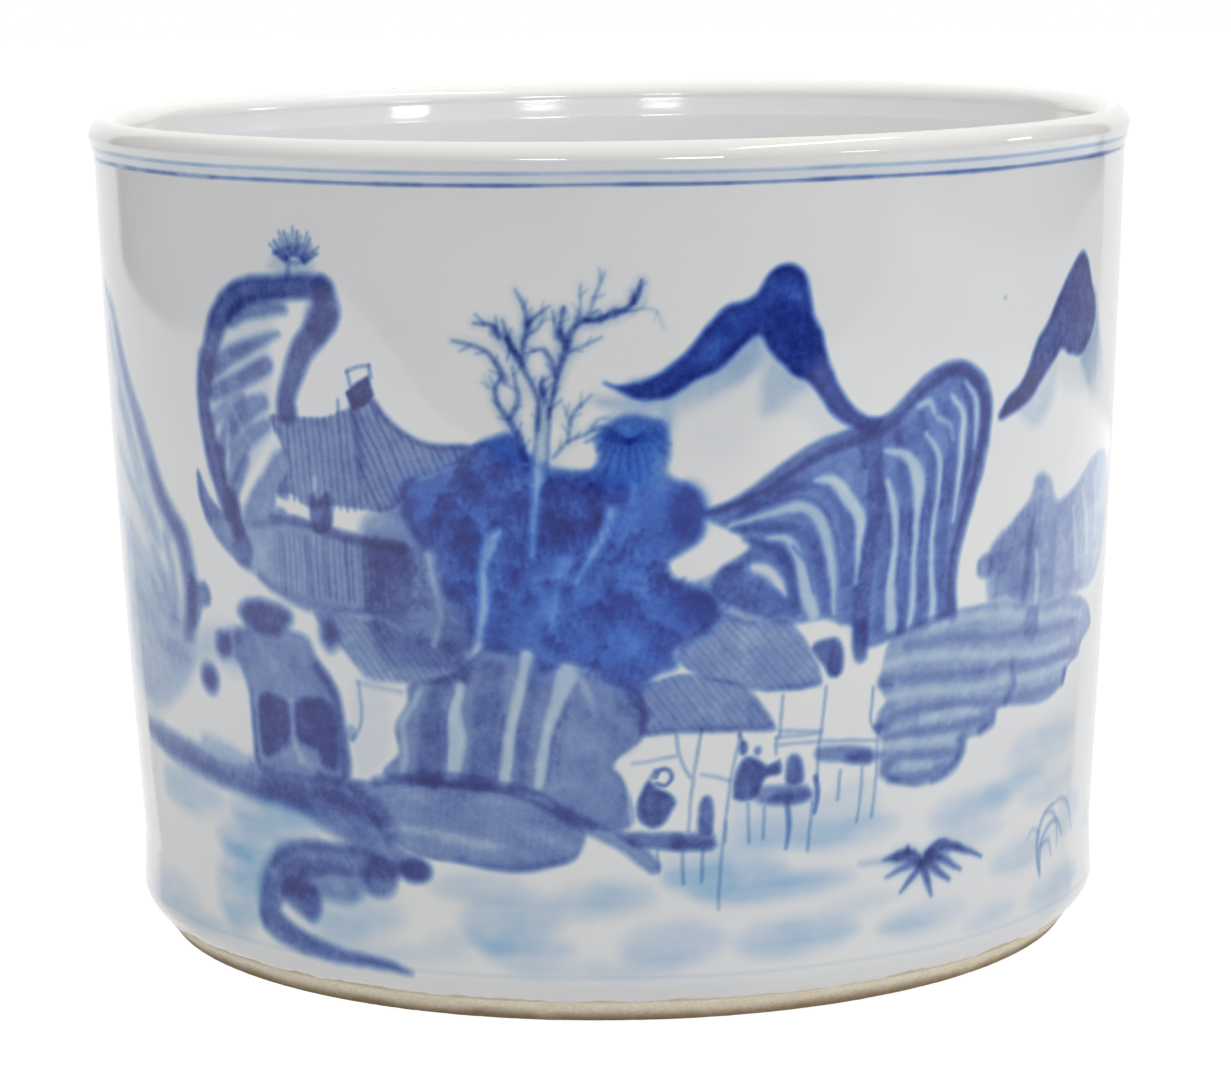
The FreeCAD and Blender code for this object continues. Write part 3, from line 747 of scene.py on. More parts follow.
def bare_tree(b):
    """Leafless tree: two pale trunks and fine twigs, darker at their knots, with a haze of buds."""
    twigs = (
        ([(-12.9, 110, 0.8), (-12.7, 114.6, 0.8), (-14.4, 119, 1.0), (-16, 122.4, 1.2), (-17.8, 125.8, 0.9),
          (-18.5, 129, 0.3)], 0.56),
        ([(-10.9, 112, 0.8), (-10.4, 115, 0.9), (-9.5, 119, 1.1), (-8.0, 123.6, 1.4), (-7.1, 126.8, 1.3),
          (-5.4, 128.9, 1.1), (-2.6, 129.3, 1.0), (0.4, 130.2, 1.3), (3.0, 131.3, 0.9), (4.4, 133.4, 1.3),
          (5.1, 136, 0.4)], 0.68),
        ([(-15.4, 104.6, 1.6), (-17.0, 110.2, 1.4), (-19.6, 114.0, 1.0), (-20.1, 117, 0.7),
          (-19.0, 119.4, 1.2), (-20.8, 122.8, 0.9), (-23.2, 124.4, 0.7), (-27.6, 125.4, 0.2)], 0.58),
        ([(-20.0, 116.4, 0.5), (-22.6, 118.2, 0.2)], 0.30),
        ([(-17.6, 112, 1.0), (-16.2, 115, 1.1), (-16.6, 118, 0.7), (-17.0, 120.6, 0.2)], 0.50),
        ([(-15.4, 121, 0.7), (-15.0, 124.8, 0.9), (-14.2, 128.2, 1.2), (-14.9, 131.4, 0.7),
          (-16.4, 134.4, 0.2)], 0.52),
        ([(-14.2, 128.4, 0.8), (-12.9, 129.6, 0.8), (-10.6, 131.6, 0.2)], 0.42),
        ([(-14.6, 126.2, 0.7), (-12.6, 127.6, 0.6), (-11.4, 130, 0.2)], 0.36),
        ([(-17.8, 125.6, 1.1), (-16.6, 123.4, 1.0)], 0.70),
        ([(-19.2, 126.2, 1.1), (-20.4, 128.0, 0.8), (-23.6, 128.5, 0.2)], 0.66),
        ([(-9.8, 119.4, 0.9), (-10.2, 121.6, 1.1), (-11.8, 123.9, 0.8), (-14.6, 123.2, 0.2)], 0.52),
        ([(-11.6, 114.6, 1.0), (-12.1, 117.2, 1.1), (-11.9, 119.0, 0.3)], 0.70),
        ([(-8.0, 124.4, 0.9), (-8.8, 127.4, 0.9), (-8.2, 131.4, 0.3)], 0.64),
        ([(-8.4, 125.6, 0.6), (-9.5, 127.6, 0.7), (-10.0, 130.8, 0.2)], 0.42),
        ([(-6.0, 128.2, 0.6), (-5.4, 131.6, 0.4), (-5.2, 135.2, 0.2)], 0.32),
        ([(-4.4, 129.0, 0.7), (-2.9, 133.0, 0.5), (-1.1, 137.4, 0.2)], 0.34),
        ([(-7.4, 123.6, 0.8), (-5.4, 124.4, 0.6), (-1.8, 126.2, 0.2)], 0.38),
        ([(-3.4, 129.2, 0.8), (-6.0, 129.6, 0.4)], 0.46),
        ([(1.0, 130.2, 0.4), (5.0, 130.8, 0.4), (7.8, 130.2, 0.3), (9.2, 127.2, 0.2)], 0.16),
        ([(-10.2, 105, 0.8), (-7.6, 107.6, 0.8), (-4.6, 108.8, 0.6), (-2.2, 110.2, 0.3)], 0.34),
        ([(-7.6, 107.6, 0.6), (-7.0, 111.8, 0.8), (-5.4, 114, 0.7), (-3.6, 116, 0.2)], 0.34),
        ([(-7.2, 110.6, 0.5), (-8.4, 114.2, 0.2)], 0.28),
        ([(-4.6, 108.6, 0.4), (-2.4, 111.4, 0.5), (-0.6, 111.6, 0.2)], 0.24),
    )
    rng = np.random.default_rng(12)
    for points, ink in twigs:
        haze = [(*p[:2], 2.0 * p[2] + 0.8) for p in points]
        b.line(haze, 2.0, 0.16 * ink, soft=0.9, pool=0.0)
        b.line([(along, up, 0.85 * wide) for along, up, wide in points], 1.0, 0.92 * ink, soft=0.34, pool=0.0)
        line = flowing(points, closed=False, step=1.9)
        for here, ahead in zip(line[1:-1:2], line[2::2]):
            way = math.atan2(ahead[1] - here[1], ahead[0] - here[0])
            side = way + rng.choice((-1.0, 1.0)) * rng.uniform(0.5, 0.95)
            reach = rng.uniform(1.2, 2.7)
            tip = (here[0] + reach * math.cos(side), here[1] + reach * math.sin(side))
            b.line([(*here[:2], 0.5), (*tip, 0.15)], 0.4, 0.62 * ink, soft=0.32, pool=0.0)
    for along, up in ((-20.2, 127.2), (-9.3, 126.6), (-8.2, 130.6), (3.7, 132.4), (-18.4, 118.6),
                      (-16.2, 122.6), (-14.4, 128.4), (-11.9, 116.8), (0.6, 130.4), (-2.0, 129.6)):
        b.dot(along, up, 0.6, 0.9, 0.36, soft=0.5)
    for points in ([(-13.9, 103.6, 0.6), (-13.1, 109, 0.5), (-12.8, 113.6, 0.5)],
                   [(-11.4, 103.6, 0.6), (-11.1, 109, 0.5), (-10.8, 113.6, 0.6)],
                   [(-14.6, 104, 0.5), (-16.0, 109.4, 0.5)]):
        b.line(points, 0.5, 0.38, soft=0.4, pool=0.0)
    b.fill([(-13.8, 104), (-12.9, 113), (-11.0, 113), (-11.4, 104)], 0.13, soft=0.5)


def distant_peak(b):
    """Far mountain: a thick dark ridge that dips and rises, with thin wash below it."""
    ridge = [(-1.4, 118), (1, 117.4), (5, 118), (8, 119.2), (10.4, 120.8), (14, 124.2), (17.4, 128.6),
             (19.8, 130.9),
             (22.6, 131.6), (25, 132.8), (27, 136), (29.6, 137.8), (32, 137.7), (34, 135.8), (34.9, 132.4),
             (35.4, 129), (36.8, 126), (38, 121.6), (40, 116.8), (42.8, 112.6), (46, 110.2), (49.4, 109.2),
             (47.4, 106.6), (44.6, 107.8), (41, 109.6), (38.8, 111.6), (36.4, 114.8), (34.8, 116.8),
             (32, 118.2),
             (30, 120.2), (27.4, 122.8), (26, 125.4), (24.4, 125.4), (21.8, 123), (18.6, 119.9),
             (14.8, 118.2), (11.8, 116.2), (9.8, 115.2), (6, 114.8), (3, 115.4), (0.6, 116.8)]
    b.fill(ridge, 0.84, soft=0.6, pool=0.2)
    b.fill(ridge, 0.85, soft=2.0, pool=0.0, blot=0.0, layer="vivid")
    b.fill([(3, 117.6), (8, 118.6), (12, 121.4), (15, 121), (12, 117), (6, 115.2)], 0.52, soft=1.4, pool=0.0)
    b.fill([(24, 131), (30, 132), (35, 128), (36, 124), (33, 120), (28, 124), (25, 127)], 0.34, soft=1.6,
           pool=0.0)
    b.lift([(16.4, 123.4, 1.6), (18.6, 125.6, 1.6)], 1.6, 0.16, soft=1.2)
    b.fill([(-3, 114.8), (4, 115.4), (10, 115.8), (15.4, 118.6), (22, 123.4), (24.8, 126), (26.4, 122),
            (24, 118.4),
            (18, 114.8), (12, 111.6), (8, 106.8), (6.4, 110)], 0.24, soft=1.4, fade=((18, 124), (22, 108)))
    b.fill([(9, 114), (10.8, 110), (9.8, 104), (8.4, 108)], 0.10, soft=1.0)
    b.fill([(26.4, 124), (30, 120.4), (34, 117.6), (38, 112.6), (44.6, 108.6), (39, 106), (34, 110),
            (29, 112), (26.4, 114)], 0.17, soft=1.4, layer="water")
    b.fill([(27.6, 122), (32, 118), (35, 116), (31, 114), (29, 112), (26, 112)], 0.10, soft=1.4)
    b.fill([(10, 112), (24, 120), (30, 112), (18, 104)], 0.05, soft=3.0, layer="water")


def striped_rock(b):
    """Great leaning rock drawn in long curved stripes under one dark outline."""
    body = [(16, 94.4), (25, 97.6), (31, 101), (37, 104.8), (44, 107), (50, 108.8), (57, 114), (63, 117.4),
            (69, 116.8), (73.6, 111.6), (73.8, 104.8), (71, 95.4), (67.6, 86), (66, 79), (66.8, 71.4),
            (56, 70),
            (48, 68), (44, 70.6), (39, 74), (30, 74), (18, 79.4), (18.6, 84), (24, 87.6), (22, 90.6)]
    b.fill(body, 0.56, soft=0.6, pool=0.0)
    b.fill(body, 0.35, soft=3.0, pool=0.0, blot=0.0, layer="vivid")
    for points, ink in (
            ([(16, 94.6, 0.9), (20, 95.6, 1.4), (25, 97.9, 2.2), (31, 101.4, 3.2), (36.4, 104.4, 3.4),
              (42, 106.2, 3.4), (47, 107.4, 3.8), (51, 108.9, 3.0), (55, 112.2, 2.8), (59.4, 115.6, 2.9),
              (64, 117.2, 2.7), (68.6, 116.4, 2.9), (72.2, 113.4, 3.0), (73.5, 109.2, 3.0),
              (73.0, 103.8, 2.7),
              (71.8, 98.2, 2.6), (70.0, 93.2, 2.5), (68.0, 87.4, 2.4), (66.4, 81.4, 2.3), (66.1, 75.6, 2.2),
              (66.6, 71.2, 2.4)], 0.62),
            ([(22, 93.6, 1.6), (29, 97.4, 2.2), (36.4, 98.6, 2.2), (41, 95.6, 2.6), (42.8, 89.4, 3.0),
              (43.4, 82, 3.2), (43.4, 74.6, 3.0)], 0.30),
            ([(21, 91.4, 1.0), (27.6, 91.2, 1.7), (33, 90.6, 1.8), (36.4, 87, 2.0), (38.0, 81, 2.0),
              (39.0, 75.4, 1.8)], 0.28),
            ([(23.4, 89.4, 1.2), (27.4, 87.8, 2.0), (30.6, 85.4, 2.2), (32.2, 81, 2.2),
              (32.4, 76, 2.2)], 0.34),
            ([(46.8, 107.4, 4.8), (47.6, 101, 4.6), (48.2, 94, 3.8), (47.2, 86.6, 3.2), (46.2, 79, 3.6),
              (45.6, 72, 3.4), (45.9, 67.4, 2.6)], 0.44),
            ([(49.4, 97, 2.4), (50.4, 91, 2.4), (50.0, 84, 2.6), (49.6, 77, 2.2), (49.4, 71, 1.8)], 0.26),
            ([(52.6, 107.6, 2.0), (54.2, 98, 2.4), (55.0, 90, 2.6), (54.6, 80, 3.0),
              (54.4, 70.6, 2.2)], 0.26),
            ([(57.6, 109.6, 1.6), (60.0, 102, 2.2), (59.6, 94, 2.2), (58.8, 86, 2.4), (59.2, 78, 2.6),
              (59.0, 71.6, 2.2)], 0.26),
            ([(63.2, 110.6, 1.6), (64.8, 104, 2.2), (64.4, 96, 2.4), (63.2, 88, 2.4), (63.4, 80, 2.4),
              (64.2, 72, 2.2)], 0.26),
            ([(67.6, 113.6, 1.2), (69.6, 108, 1.4), (69.2, 101, 1.8), (68.2, 94.6, 1.4)], 0.30)):
        b.line(points, 2.4, ink, soft=0.6, pool=0.1)
    for points, amount in (
            ([(20.4, 92.2, 0.9), (27.6, 93.8, 1.5), (33.6, 94.6, 1.9), (37.2, 92.0, 2.4), (39.0, 86.6, 2.0),
              (40.0, 80.6, 1.2), (40.2, 75, 0.8)], 0.72),
            ([(36.4, 99.2, 0.9), (40.0, 98.8, 2.4), (42.6, 95.6, 2.8), (45.0, 91.8, 2.6), (44.8, 86, 1.5),
              (44.5, 80, 0.6)], 0.80),
            ([(27.4, 89.4, 0.9), (31.2, 88.8, 1.8), (33.6, 84.4, 2.2), (34.8, 79, 3.0),
              (36.2, 75.2, 2.4)], 0.76),
            ([(23.8, 84.2, 1.4), (27.2, 83.6, 2.4), (29.4, 81.2, 2.0), (30.6, 79.0, 0.6)], 0.88),
            ([(46.1, 100.0, 0.5), (46.2, 96.4, 0.6)], 0.5),
            ([(50.6, 97.8, 1.4), (52.3, 92.4, 1.5), (52.6, 86, 1.1), (51.8, 79, 1.9),
              (52.2, 71.6, 2.6)], 0.76),
            ([(50.2, 103.4, 0.9), (54.6, 102.2, 2.2), (57.2, 98.0, 3.0), (57.2, 91, 1.5), (56.8, 83, 1.0),
              (56.9, 76, 1.5), (56.2, 70.6, 1.3)], 0.78),
            ([(58.8, 106.0, 0.9), (62.0, 101.4, 1.5), (62.0, 94.6, 1.1), (60.9, 88, 1.0), (60.9, 81, 1.3),
              (61.8, 75, 1.7), (61.6, 71.6, 1.7)], 0.76),
            ([(57.0, 111.2, 1.0), (59.4, 111.8, 1.6), (60.6, 109.8, 1.0)], 0.75),
            ([(61.4, 108.8, 1.0), (64.2, 107.2, 1.4), (65.2, 104.4, 0.7)], 0.60),
            ([(64.6, 112.2, 0.9), (67.4, 109.0, 1.5), (67.4, 103, 1.5), (66.8, 96, 1.3),
              (65.8, 89, 0.6)], 0.85),
            ([(68.2, 114.4, 0.8), (70.6, 111.0, 1.6), (71.0, 107, 1.3), (70.4, 102, 0.5)], 0.72)):
        b.lift(points, 1.6, amount, soft=0.55)
    for points in ([(26, 95.4), (33.6, 96.4), (38.2, 93.6), (40.8, 87.4), (41.6, 80)],
                   [(51.2, 92), (51.4, 86), (50.6, 79)], [(53.6, 93), (53.8, 86), (53.2, 79)],
                   [(58.6, 92), (58.0, 84)], [(55.8, 92), (55.8, 84)], [(32.2, 87.6), (34.8, 84), (36.2, 79)],
                   [(60.0, 92.6), (59.8, 84)], [(63.2, 99), (62.8, 92)]):
        b.line(points, 0.6, 0.30, soft=0.35)
    b.fill([(10, 82.4), (14, 82), (20, 84.6), (24, 85.2), (23.4, 82.4), (27.4, 81), (30.4, 78.6), (30.6, 76),
            (24, 74), (18, 76.6), (12, 79)], 0.30, soft=0.6)
    b.leaves([(19, 84), (24, 85), (28, 80), (20, 77)], 16, 3.0, 1.0, 0.25, seed=21)
    b.clear([(31.4, 72.2), (37.6, 73.2), (40, 72.6), (39.4, 70.2), (35, 69.6), (34, 67)], 0.85)
    b.clear([(41.4, 72), (44.4, 71.6), (44, 65.4), (43, 60), (47.6, 62), (48.4, 66), (50.6, 67.6), (53, 67.4),
             (53, 61), (44, 57), (41.6, 63)], 0.85)
    b.fill([(36, 68.8), (38.4, 70.2), (41.4, 70), (42.4, 67), (42, 63.6), (40, 63.2), (38.4, 65.4)], 0.66,
           soft=0.5)
    b.dot(40.8, 66.6, 1.6, 2.8, 0.35, soft=0.8)
    b.line([(45.9, 72, 3.0), (45.8, 68.6, 3.0), (46.0, 66.4, 2.4)], 3.0, 0.62)


def water_pavilions(b):
    """Two open shelters on thin stilts, with low tables, jars and two seated blots of figures."""
    upper = [(11, 69), (14, 73), (18, 76.6), (24, 74.8), (31, 74.4), (34, 71.4), (36, 68), (37.6, 62),
             (27, 61.6), (22, 62.8), (14, 65.6)]
    b.fill(upper, 0.40, soft=0.45)
    b.hatch(upper, -40, 1.65, 0.5, 0.26)
    b.line([(27.6, 61.8, 1.0), (37.6, 62.2, 1.3)], 1.2, 0.25)
    lower = [(2.4, 62), (9, 65), (15, 65.2), (23, 63), (26.6, 59), (29, 55), (28.2, 54.3), (20, 54.5),
             (10, 54.8), (4.4, 54.6), (4.6, 58)]
    b.fill(lower, 0.44, soft=0.45)
    b.hatch(lower, -36, 1.6, 0.5, 0.26)
    b.fill([(23.6, 60), (26.6, 58.6), (28.8, 55), (24.6, 54.9)], 0.26, soft=0.7)
    b.line([(4.6, 55.2, 1.0), (16, 55.1, 1.2), (28.4, 54.9, 1.4)], 1.2, 0.22)
    posts = (
        [(10.6, 54.4), (11.4, 50), (13.2, 46.4)], [(15.2, 55), (13.8, 46.4), (13.0, 36.4)],
        [(22.6, 54.4), (20.9, 46), (20.0, 38), (19.2, 30), (18.7, 21.6)],
        [(39.0, 61.4), (37.9, 52), (37.4, 44)],
        [(48.6, 60.4), (48.3, 54.4), (50.2, 52)], [(50.0, 52), (49.8, 44), (49.0, 36)],
        [(30.6, 60.4), (30.0, 53)],
        [(29.4, 53), (29.4, 50)], [(12.0, 32.6), (12.2, 26.6)], [(15.8, 33), (15.6, 27)],
        [(24.2, 41), (24.6, 33.6)],
        [(27.4, 40), (27.3, 34.2)], [(36.5, 40.4), (36.0, 31)], [(42.2, 45.4), (41.6, 40)],
        [(46.8, 45.4), (46.4, 40), (45.8, 35.4)], [(20.1, 38), (19.9, 34)], [(7.2, 33), (7.4, 29)])
    for points in posts:
        b.line(points, 0.46, 0.32, soft=0.3, pool=0.0)
    b.line([(37.1, 45, 0.9), (37.5, 42, 0.9), (37.0, 38, 0.5)], 0.8, 0.62, soft=0.35)
    b.line([(31.7, 40.2, 0.9), (32.2, 36.4, 0.9), (31.6, 32, 0.5)], 0.8, 0.48, soft=0.35)
    for points in ([(29.4, 51.6), (38, 51.4), (49.6, 50.4)], [(15.4, 46.9), (20.8, 45.6)],
                   [(30, 54), (38, 53.4)], [(29.4, 52.9), (37.6, 53.0)], [(3, 49.4), (10.4, 50.6)]):
        b.line(points, 0.6, 0.24, soft=0.35, pool=0.0)
    table(b, [(2, 36.4), (10, 36.2), (16.8, 36), (18.1, 34.4), (17.6, 32.7), (9, 33.1), (2.6, 33.8)],
          (12, 34.4))
    table(b, [(24.8, 43.6), (30, 44), (35.4, 43.4), (35.6, 40.6), (31, 40.2), (26, 41.2)], (31, 42.1))
    table(b, [(37.4, 50.2), (43, 50), (48.4, 49), (48.9, 46.6), (47.4, 46), (42, 47.2), (37.6, 48)],
          (45.6, 48.0))
    jar(b, [(14.9, 36.4), (15.2, 41.4), (16.4, 42.8), (17.5, 41.8), (17.6, 37), (17.2, 35.6)])
    jar(b, [(31.5, 44.4), (31.7, 48.9), (33.1, 49.6), (34.3, 48.4), (34.6, 44.4)])
    b.fill([(3.6, 41.2), (4.6, 44.2), (5.8, 46.2), (7.2, 44.6), (9.4, 43.4), (10.6, 41.6), (9.8, 40.2),
            (8.2, 37.8), (5.8, 37.4), (4.0, 38.8)], 0.86, soft=0.5)
    b.line([(7.1, 46.6, 0.6), (7.8, 48.2, 0.7), (9.4, 47.9, 0.6), (9.8, 46.2, 0.6), (8.6, 45.0, 0.5),
            (7.3, 45.5, 0.6)], 0.6, 0.6, soft=0.3)
    b.line([(6.4, 46.8, 0.9), (7.0, 48.0, 0.9)], 0.9, 0.5, soft=0.3)
    b.fill([(21.4, 43), (22, 47.4), (23.6, 49.7), (25.8, 49.2), (27.8, 47.8), (30, 48.7), (30.3, 46.4),
            (27.4, 45.6), (26, 42.6), (24, 41.6), (22, 41.9)], 0.86, soft=0.5)
    b.dot(23.1, 51.4, 0.8, 1.2, 0.8, soft=0.4)
    b.dot(25.9, 50.8, 0.7, 0.9, 0.45, soft=0.4)
    b.line([(22.4, 53.8), (23.0, 52.2)], 0.7, 0.5, soft=0.3)
    for pool in ([(22, 42), (36, 41), (48, 43), (50, 36), (38, 32), (24, 33)],
                 [(8, 32), (19, 32), (22, 25), (10, 25)]):
        b.fill(pool, 0.26, soft=1.4, layer="water", pool=0.0)


def table(b, outline, dark):
    """A low table, with a darker touch near the place given."""
    b.fill(outline, 0.46, soft=0.6)
    b.dot(dark[0] + 1.6, dark[1] - 0.4, 4.0, 1.1, 0.46, soft=0.8)


def jar(b, outline):
    """A jar, as one full touch of the brush."""
    b.fill(outline, 0.74, soft=0.5)


def terraces(b):
    """Banked fields: broad blue bands with dotted pale lines between them."""
    b.fill([(53, 69.6), (60, 71.6), (70, 72.4), (80, 72.6), (88, 70.6), (96, 69.8), (106, 69.8), (116, 66.6),
            (120, 61.6), (113.8, 59.4), (112, 56.8), (106.6, 55.6), (104.6, 52.8), (98, 50.8), (92, 50.9),
            (85.6, 51.7), (80.6, 52), (78.6, 49.6), (75, 47.9), (71.4, 47.4), (69.6, 44.4), (66.6, 41.8),
            (62, 40.4),
            (57, 40.8), (52.6, 42.6), (50.6, 45.4), (51, 49.4), (49.4, 52.6), (49.8, 55.6), (51.4, 57.6),
            (50, 60), (50.6, 64)], 0.34, soft=0.5)
    rows = (
        [(50.4, 61.6), (56, 61.4), (64, 60.8), (72, 60.2), (79, 59.6)],
        [(50, 53.2), (55, 54.8), (62, 55.2), (70, 54.8), (79, 53.4), (90, 53), (101, 52.8)],
        [(51, 44.4), (54.6, 46.6), (60, 46.4), (66.6, 45.8), (69.6, 45.6)],
        [(52, 50.8), (59, 51), (68, 50.4), (77, 50.6)],
        [(56, 67.4), (66, 67.4), (76, 66.2), (86, 65.6), (96, 64.4), (108, 64)],
        [(80, 60.4), (90, 58.8), (101, 58.4), (110, 58)],
        [(53, 42.4), (59, 42), (65.6, 43.2)],
    )
    for points in rows:
        b.line([(*p, 1.6) for p in points], 1.6, 0.24, soft=0.7)
    pale = (
        [(51, 64.2), (58, 65.0), (66, 64.4), (76, 63.0), (86, 61.8), (96, 60.6), (106, 60.8)],
        [(52, 58.2), (60, 58.4), (68, 57.6), (77, 57.0), (82, 57.2)],
        [(84, 57.0), (92, 56.4), (100, 56.2), (106, 56.6)],
        [(51.6, 49.2), (58, 48.9), (65, 48.4), (69, 48.2)],
        [(60, 53.0), (67, 53.2), (74, 52.4)],
        [(56, 44.6), (62, 44.2)],
        [(62, 70.2), (72, 70.6), (82, 69.8), (92, 67.4), (102, 66.8), (112, 65)],
    )
    for points in pale:
        b.lift([(*p, 1.3) for p in points], 1.3, 0.46, soft=0.9)
        line = flowing([(*p, 0.0) for p in points], closed=False, step=1.0)
        for k, (along, up, _) in enumerate(line[::3]):
            b.lift([(along, up - 0.3, 1.2), (along + 1.2, up + 0.2, 1.2)], 1.2,
                   0.16 + 0.14 * math.sin(k * 1.9), soft=0.6)
    for points in ([(69.8, 47.8, 1.6), (70.2, 45.6, 2.0), (67.4, 42.4, 2.0), (63, 41, 1.4)],
                   [(78.6, 51.8, 1.6), (78.4, 49.8, 2.0), (75, 48.4, 1.6)],
                   [(84, 60, 1.4), (84.6, 56, 1.8), (82.4, 52.8, 1.4)],
                   [(49.8, 52.8, 1.4), (51.6, 52.6, 1.4)], [(50.2, 60.6, 1.2), (52.4, 60.4, 1.4)],
                   [(51.4, 43.6, 1.2), (54, 42.4, 1.4)], [(104.8, 55, 1.4), (104.2, 53, 1.4)]):
        b.line(points, 1.6, 0.36, soft=0.7)
    b.fill([(88, 69.2), (91.6, 69.2), (92.4, 65), (89.6, 63.6), (87.4, 65.2)], 0.30, soft=0.7)


def right_peak(b):
    """Second far mountain, dark on its left flank and fading to the right."""
    b.fill([(77, 107.4), (79.4, 110.2), (83, 112.4), (85.6, 115.6), (88, 120), (92, 123.8), (96, 128.8),
            (100, 132.6), (102.6, 134.3), (105.2, 134.8), (107.2, 133), (109.4, 129.2), (112, 125.4),
            (112.6, 121.8),
            (110.4, 118.6), (106, 115.9), (101, 116.3), (97, 117.6), (94, 115.8), (90, 112.6), (86, 109.2),
            (81, 107.6), (78, 106.6)], 0.84, soft=0.6, pool=0.15)
    b.fill([(80, 109), (86, 114), (90, 119), (96, 121), (94, 117), (88, 111.6), (83, 108.6)], 0.42, soft=1.4,
           pool=0.0)
    b.fill([(111, 127), (114.6, 121), (118, 114.6), (121.6, 109.6), (127, 105.6), (120, 104), (113, 106),
            (108.6, 111), (106, 116)], 0.26, soft=1.4, fade=((112, 124), (122, 104)))
    b.fill([(95, 117), (101, 116), (107, 115.4), (111, 110), (104, 108), (98, 110)], 0.18, soft=1.6,
           layer="water")
    b.fill([(83, 108), (90, 112), (95, 115), (94, 108), (88, 104)], 0.10, soft=1.6)
    b.dot(77.8, 129.0, 0.45, 0.35, 0.22, soft=0.35)


def far_rock(b):
    """Low rocks behind the terraces, streaked from top to bottom."""
    b.fill([(76, 83), (80, 85.2), (84, 88), (88, 91), (89.4, 94.4), (92, 95), (95, 93), (97, 89.2),
            (100, 88.7),
            (105, 90), (111, 93), (117, 95.2), (123, 95), (129, 92), (131, 85), (128, 76), (120, 70.4),
            (110, 70), (100, 70), (92, 70), (86, 71), (80, 73), (76, 73), (75.4, 78)], 0.35, soft=0.8,
           fade=((96, 80), (160, 78)), blot=0.35, streak=0.2)
    b.fill([(77, 83), (84, 87), (88, 88), (90, 82), (89, 74), (80, 74), (76.6, 76)], 0.17, soft=1.6, blot=0.4)
    b.dot(74.7, 79.7, 2.2, 2.3, 0.36, soft=0.6)
    b.line([(72.9, 80.6, 0.7), (73.0, 78.8, 0.8)], 0.8, 0.3)
    for k in range(7):
        along = 78 + 2.0 * k
        b.line([(along + 1.4, 85 + 0.9 * k, 0.9), (along + 0.6, 79, 1.5), (along, 73.4, 1.2)], 1.2, 0.17,
               soft=0.9)
    b.line([(88.6, 86, 0.9), (87.6, 79, 2.0), (86.8, 72, 2.0)], 1.2, 0.34, soft=0.9)
    b.line([(97.6, 88, 0.8), (97.0, 80, 1.6), (96.6, 72, 1.4)], 1.4, 0.18, soft=1.2)
    for points in ([(90.6, 80.4, 1.2), (91.2, 75.6, 1.8), (91.2, 70.6, 1.6)],
                   [(105.4, 86.6, 0.7), (107.0, 80.6, 1.3), (108.2, 75, 1.3)],
                   [(110.0, 89.4, 1.0), (113.0, 83.6, 2.2), (114.2, 76.6, 1.8)],
                   [(117.0, 91.6, 1.0), (119.4, 84.8, 2.0), (120.6, 79, 1.4)]):
        b.lift(points, 1.6, 0.55, soft=0.6)


def left_mountain(b):
    """Slope that comes round the left side in folds, under one grey-blue outline."""
    b.fill([(-131, 128), (-124, 124), (-118, 116), (-112, 108.6), (-106, 100), (-100, 91), (-95, 86.6),
            (-93, 78),
            (-93, 66), (-92, 60.6), (-95, 55.6), (-103, 51.6), (-112, 45.6), (-122, 47), (-134, 56),
            (-140, 76), (-138, 100)], 0.05, soft=1.8, streak=0.3)
    b.fill([(-124, 82), (-112, 80), (-101, 76), (-95, 70), (-94, 60), (-104, 52), (-116, 50), (-126, 58)],
           0.17, soft=2.6, streak=0.25)
    b.line([(-129, 128, 1.6), (-123, 124, 3.0), (-118.4, 116.6, 3.6), (-113.8, 109.8, 3.8),
            (-109.2, 104.2, 4.2),
            (-105.6, 98.6, 4.6), (-102, 92.4, 5.0), (-97.8, 88, 4.8), (-93.6, 84.4, 4.8), (-92.2, 79.4, 4.6),
            (-91.6, 75.6, 4.8), (-92.2, 70.4, 4.2), (-93.4, 66.4, 3.0)], 4.2, 0.46, soft=1.6)
    b.line([(-104, 96, 2.2), (-99, 89.4, 2.6), (-94.2, 85.2, 3.0), (-92.2, 79.4, 3.0), (-91.8, 73, 3.4),
            (-93, 68, 2.4)], 3.0, 0.34, soft=1.3)
    b.fill([(-91.6, 78), (-89.4, 76.6), (-86.4, 76.8), (-85, 75), (-85.4, 72.8), (-88, 71.8), (-89.6, 69.4),
            (-91.8, 67.6), (-93, 72)], 0.50, soft=0.7)
    for points, width, ink in (
            ([(-127, 120), (-121, 110), (-116, 101), (-112, 94)], 3.4, 0.17),
            ([(-122, 108), (-114, 100), (-108, 90), (-104, 82)], 3.6, 0.17),
            ([(-126, 98), (-117, 92), (-109, 85), (-103, 76), (-100, 68)], 3.2, 0.16),
            ([(-130, 86), (-120, 82), (-111, 77), (-104, 70)], 3.0, 0.14),
            ([(-118, 70), (-108, 65), (-99, 62)], 3.6, 0.12),
            ([(-100, 84), (-98, 76), (-98, 69)], 2.4, 0.21)):
        b.line(points, width, ink, soft=1.5, dry=0.4)
    for points, amount in (
            ([(-118, 104, 1.6), (-111, 94, 2.6), (-105, 88, 1.6)], 0.45),
            ([(-124, 94, 2.0), (-113, 87, 2.6), (-103, 80, 1.6)], 0.50),
            ([(-126, 84, 2.0), (-114, 79, 2.4), (-104, 74, 1.2)], 0.45),
            ([(-98.6, 82, 1.0), (-96.4, 76, 1.6), (-96.6, 70, 1.0)], 0.35),
            ([(-122, 63, 2.0), (-112, 60, 2.4), (-103, 58.6, 1.2)], 0.30)):
        b.lift(points, 2.4, amount, soft=1.3)


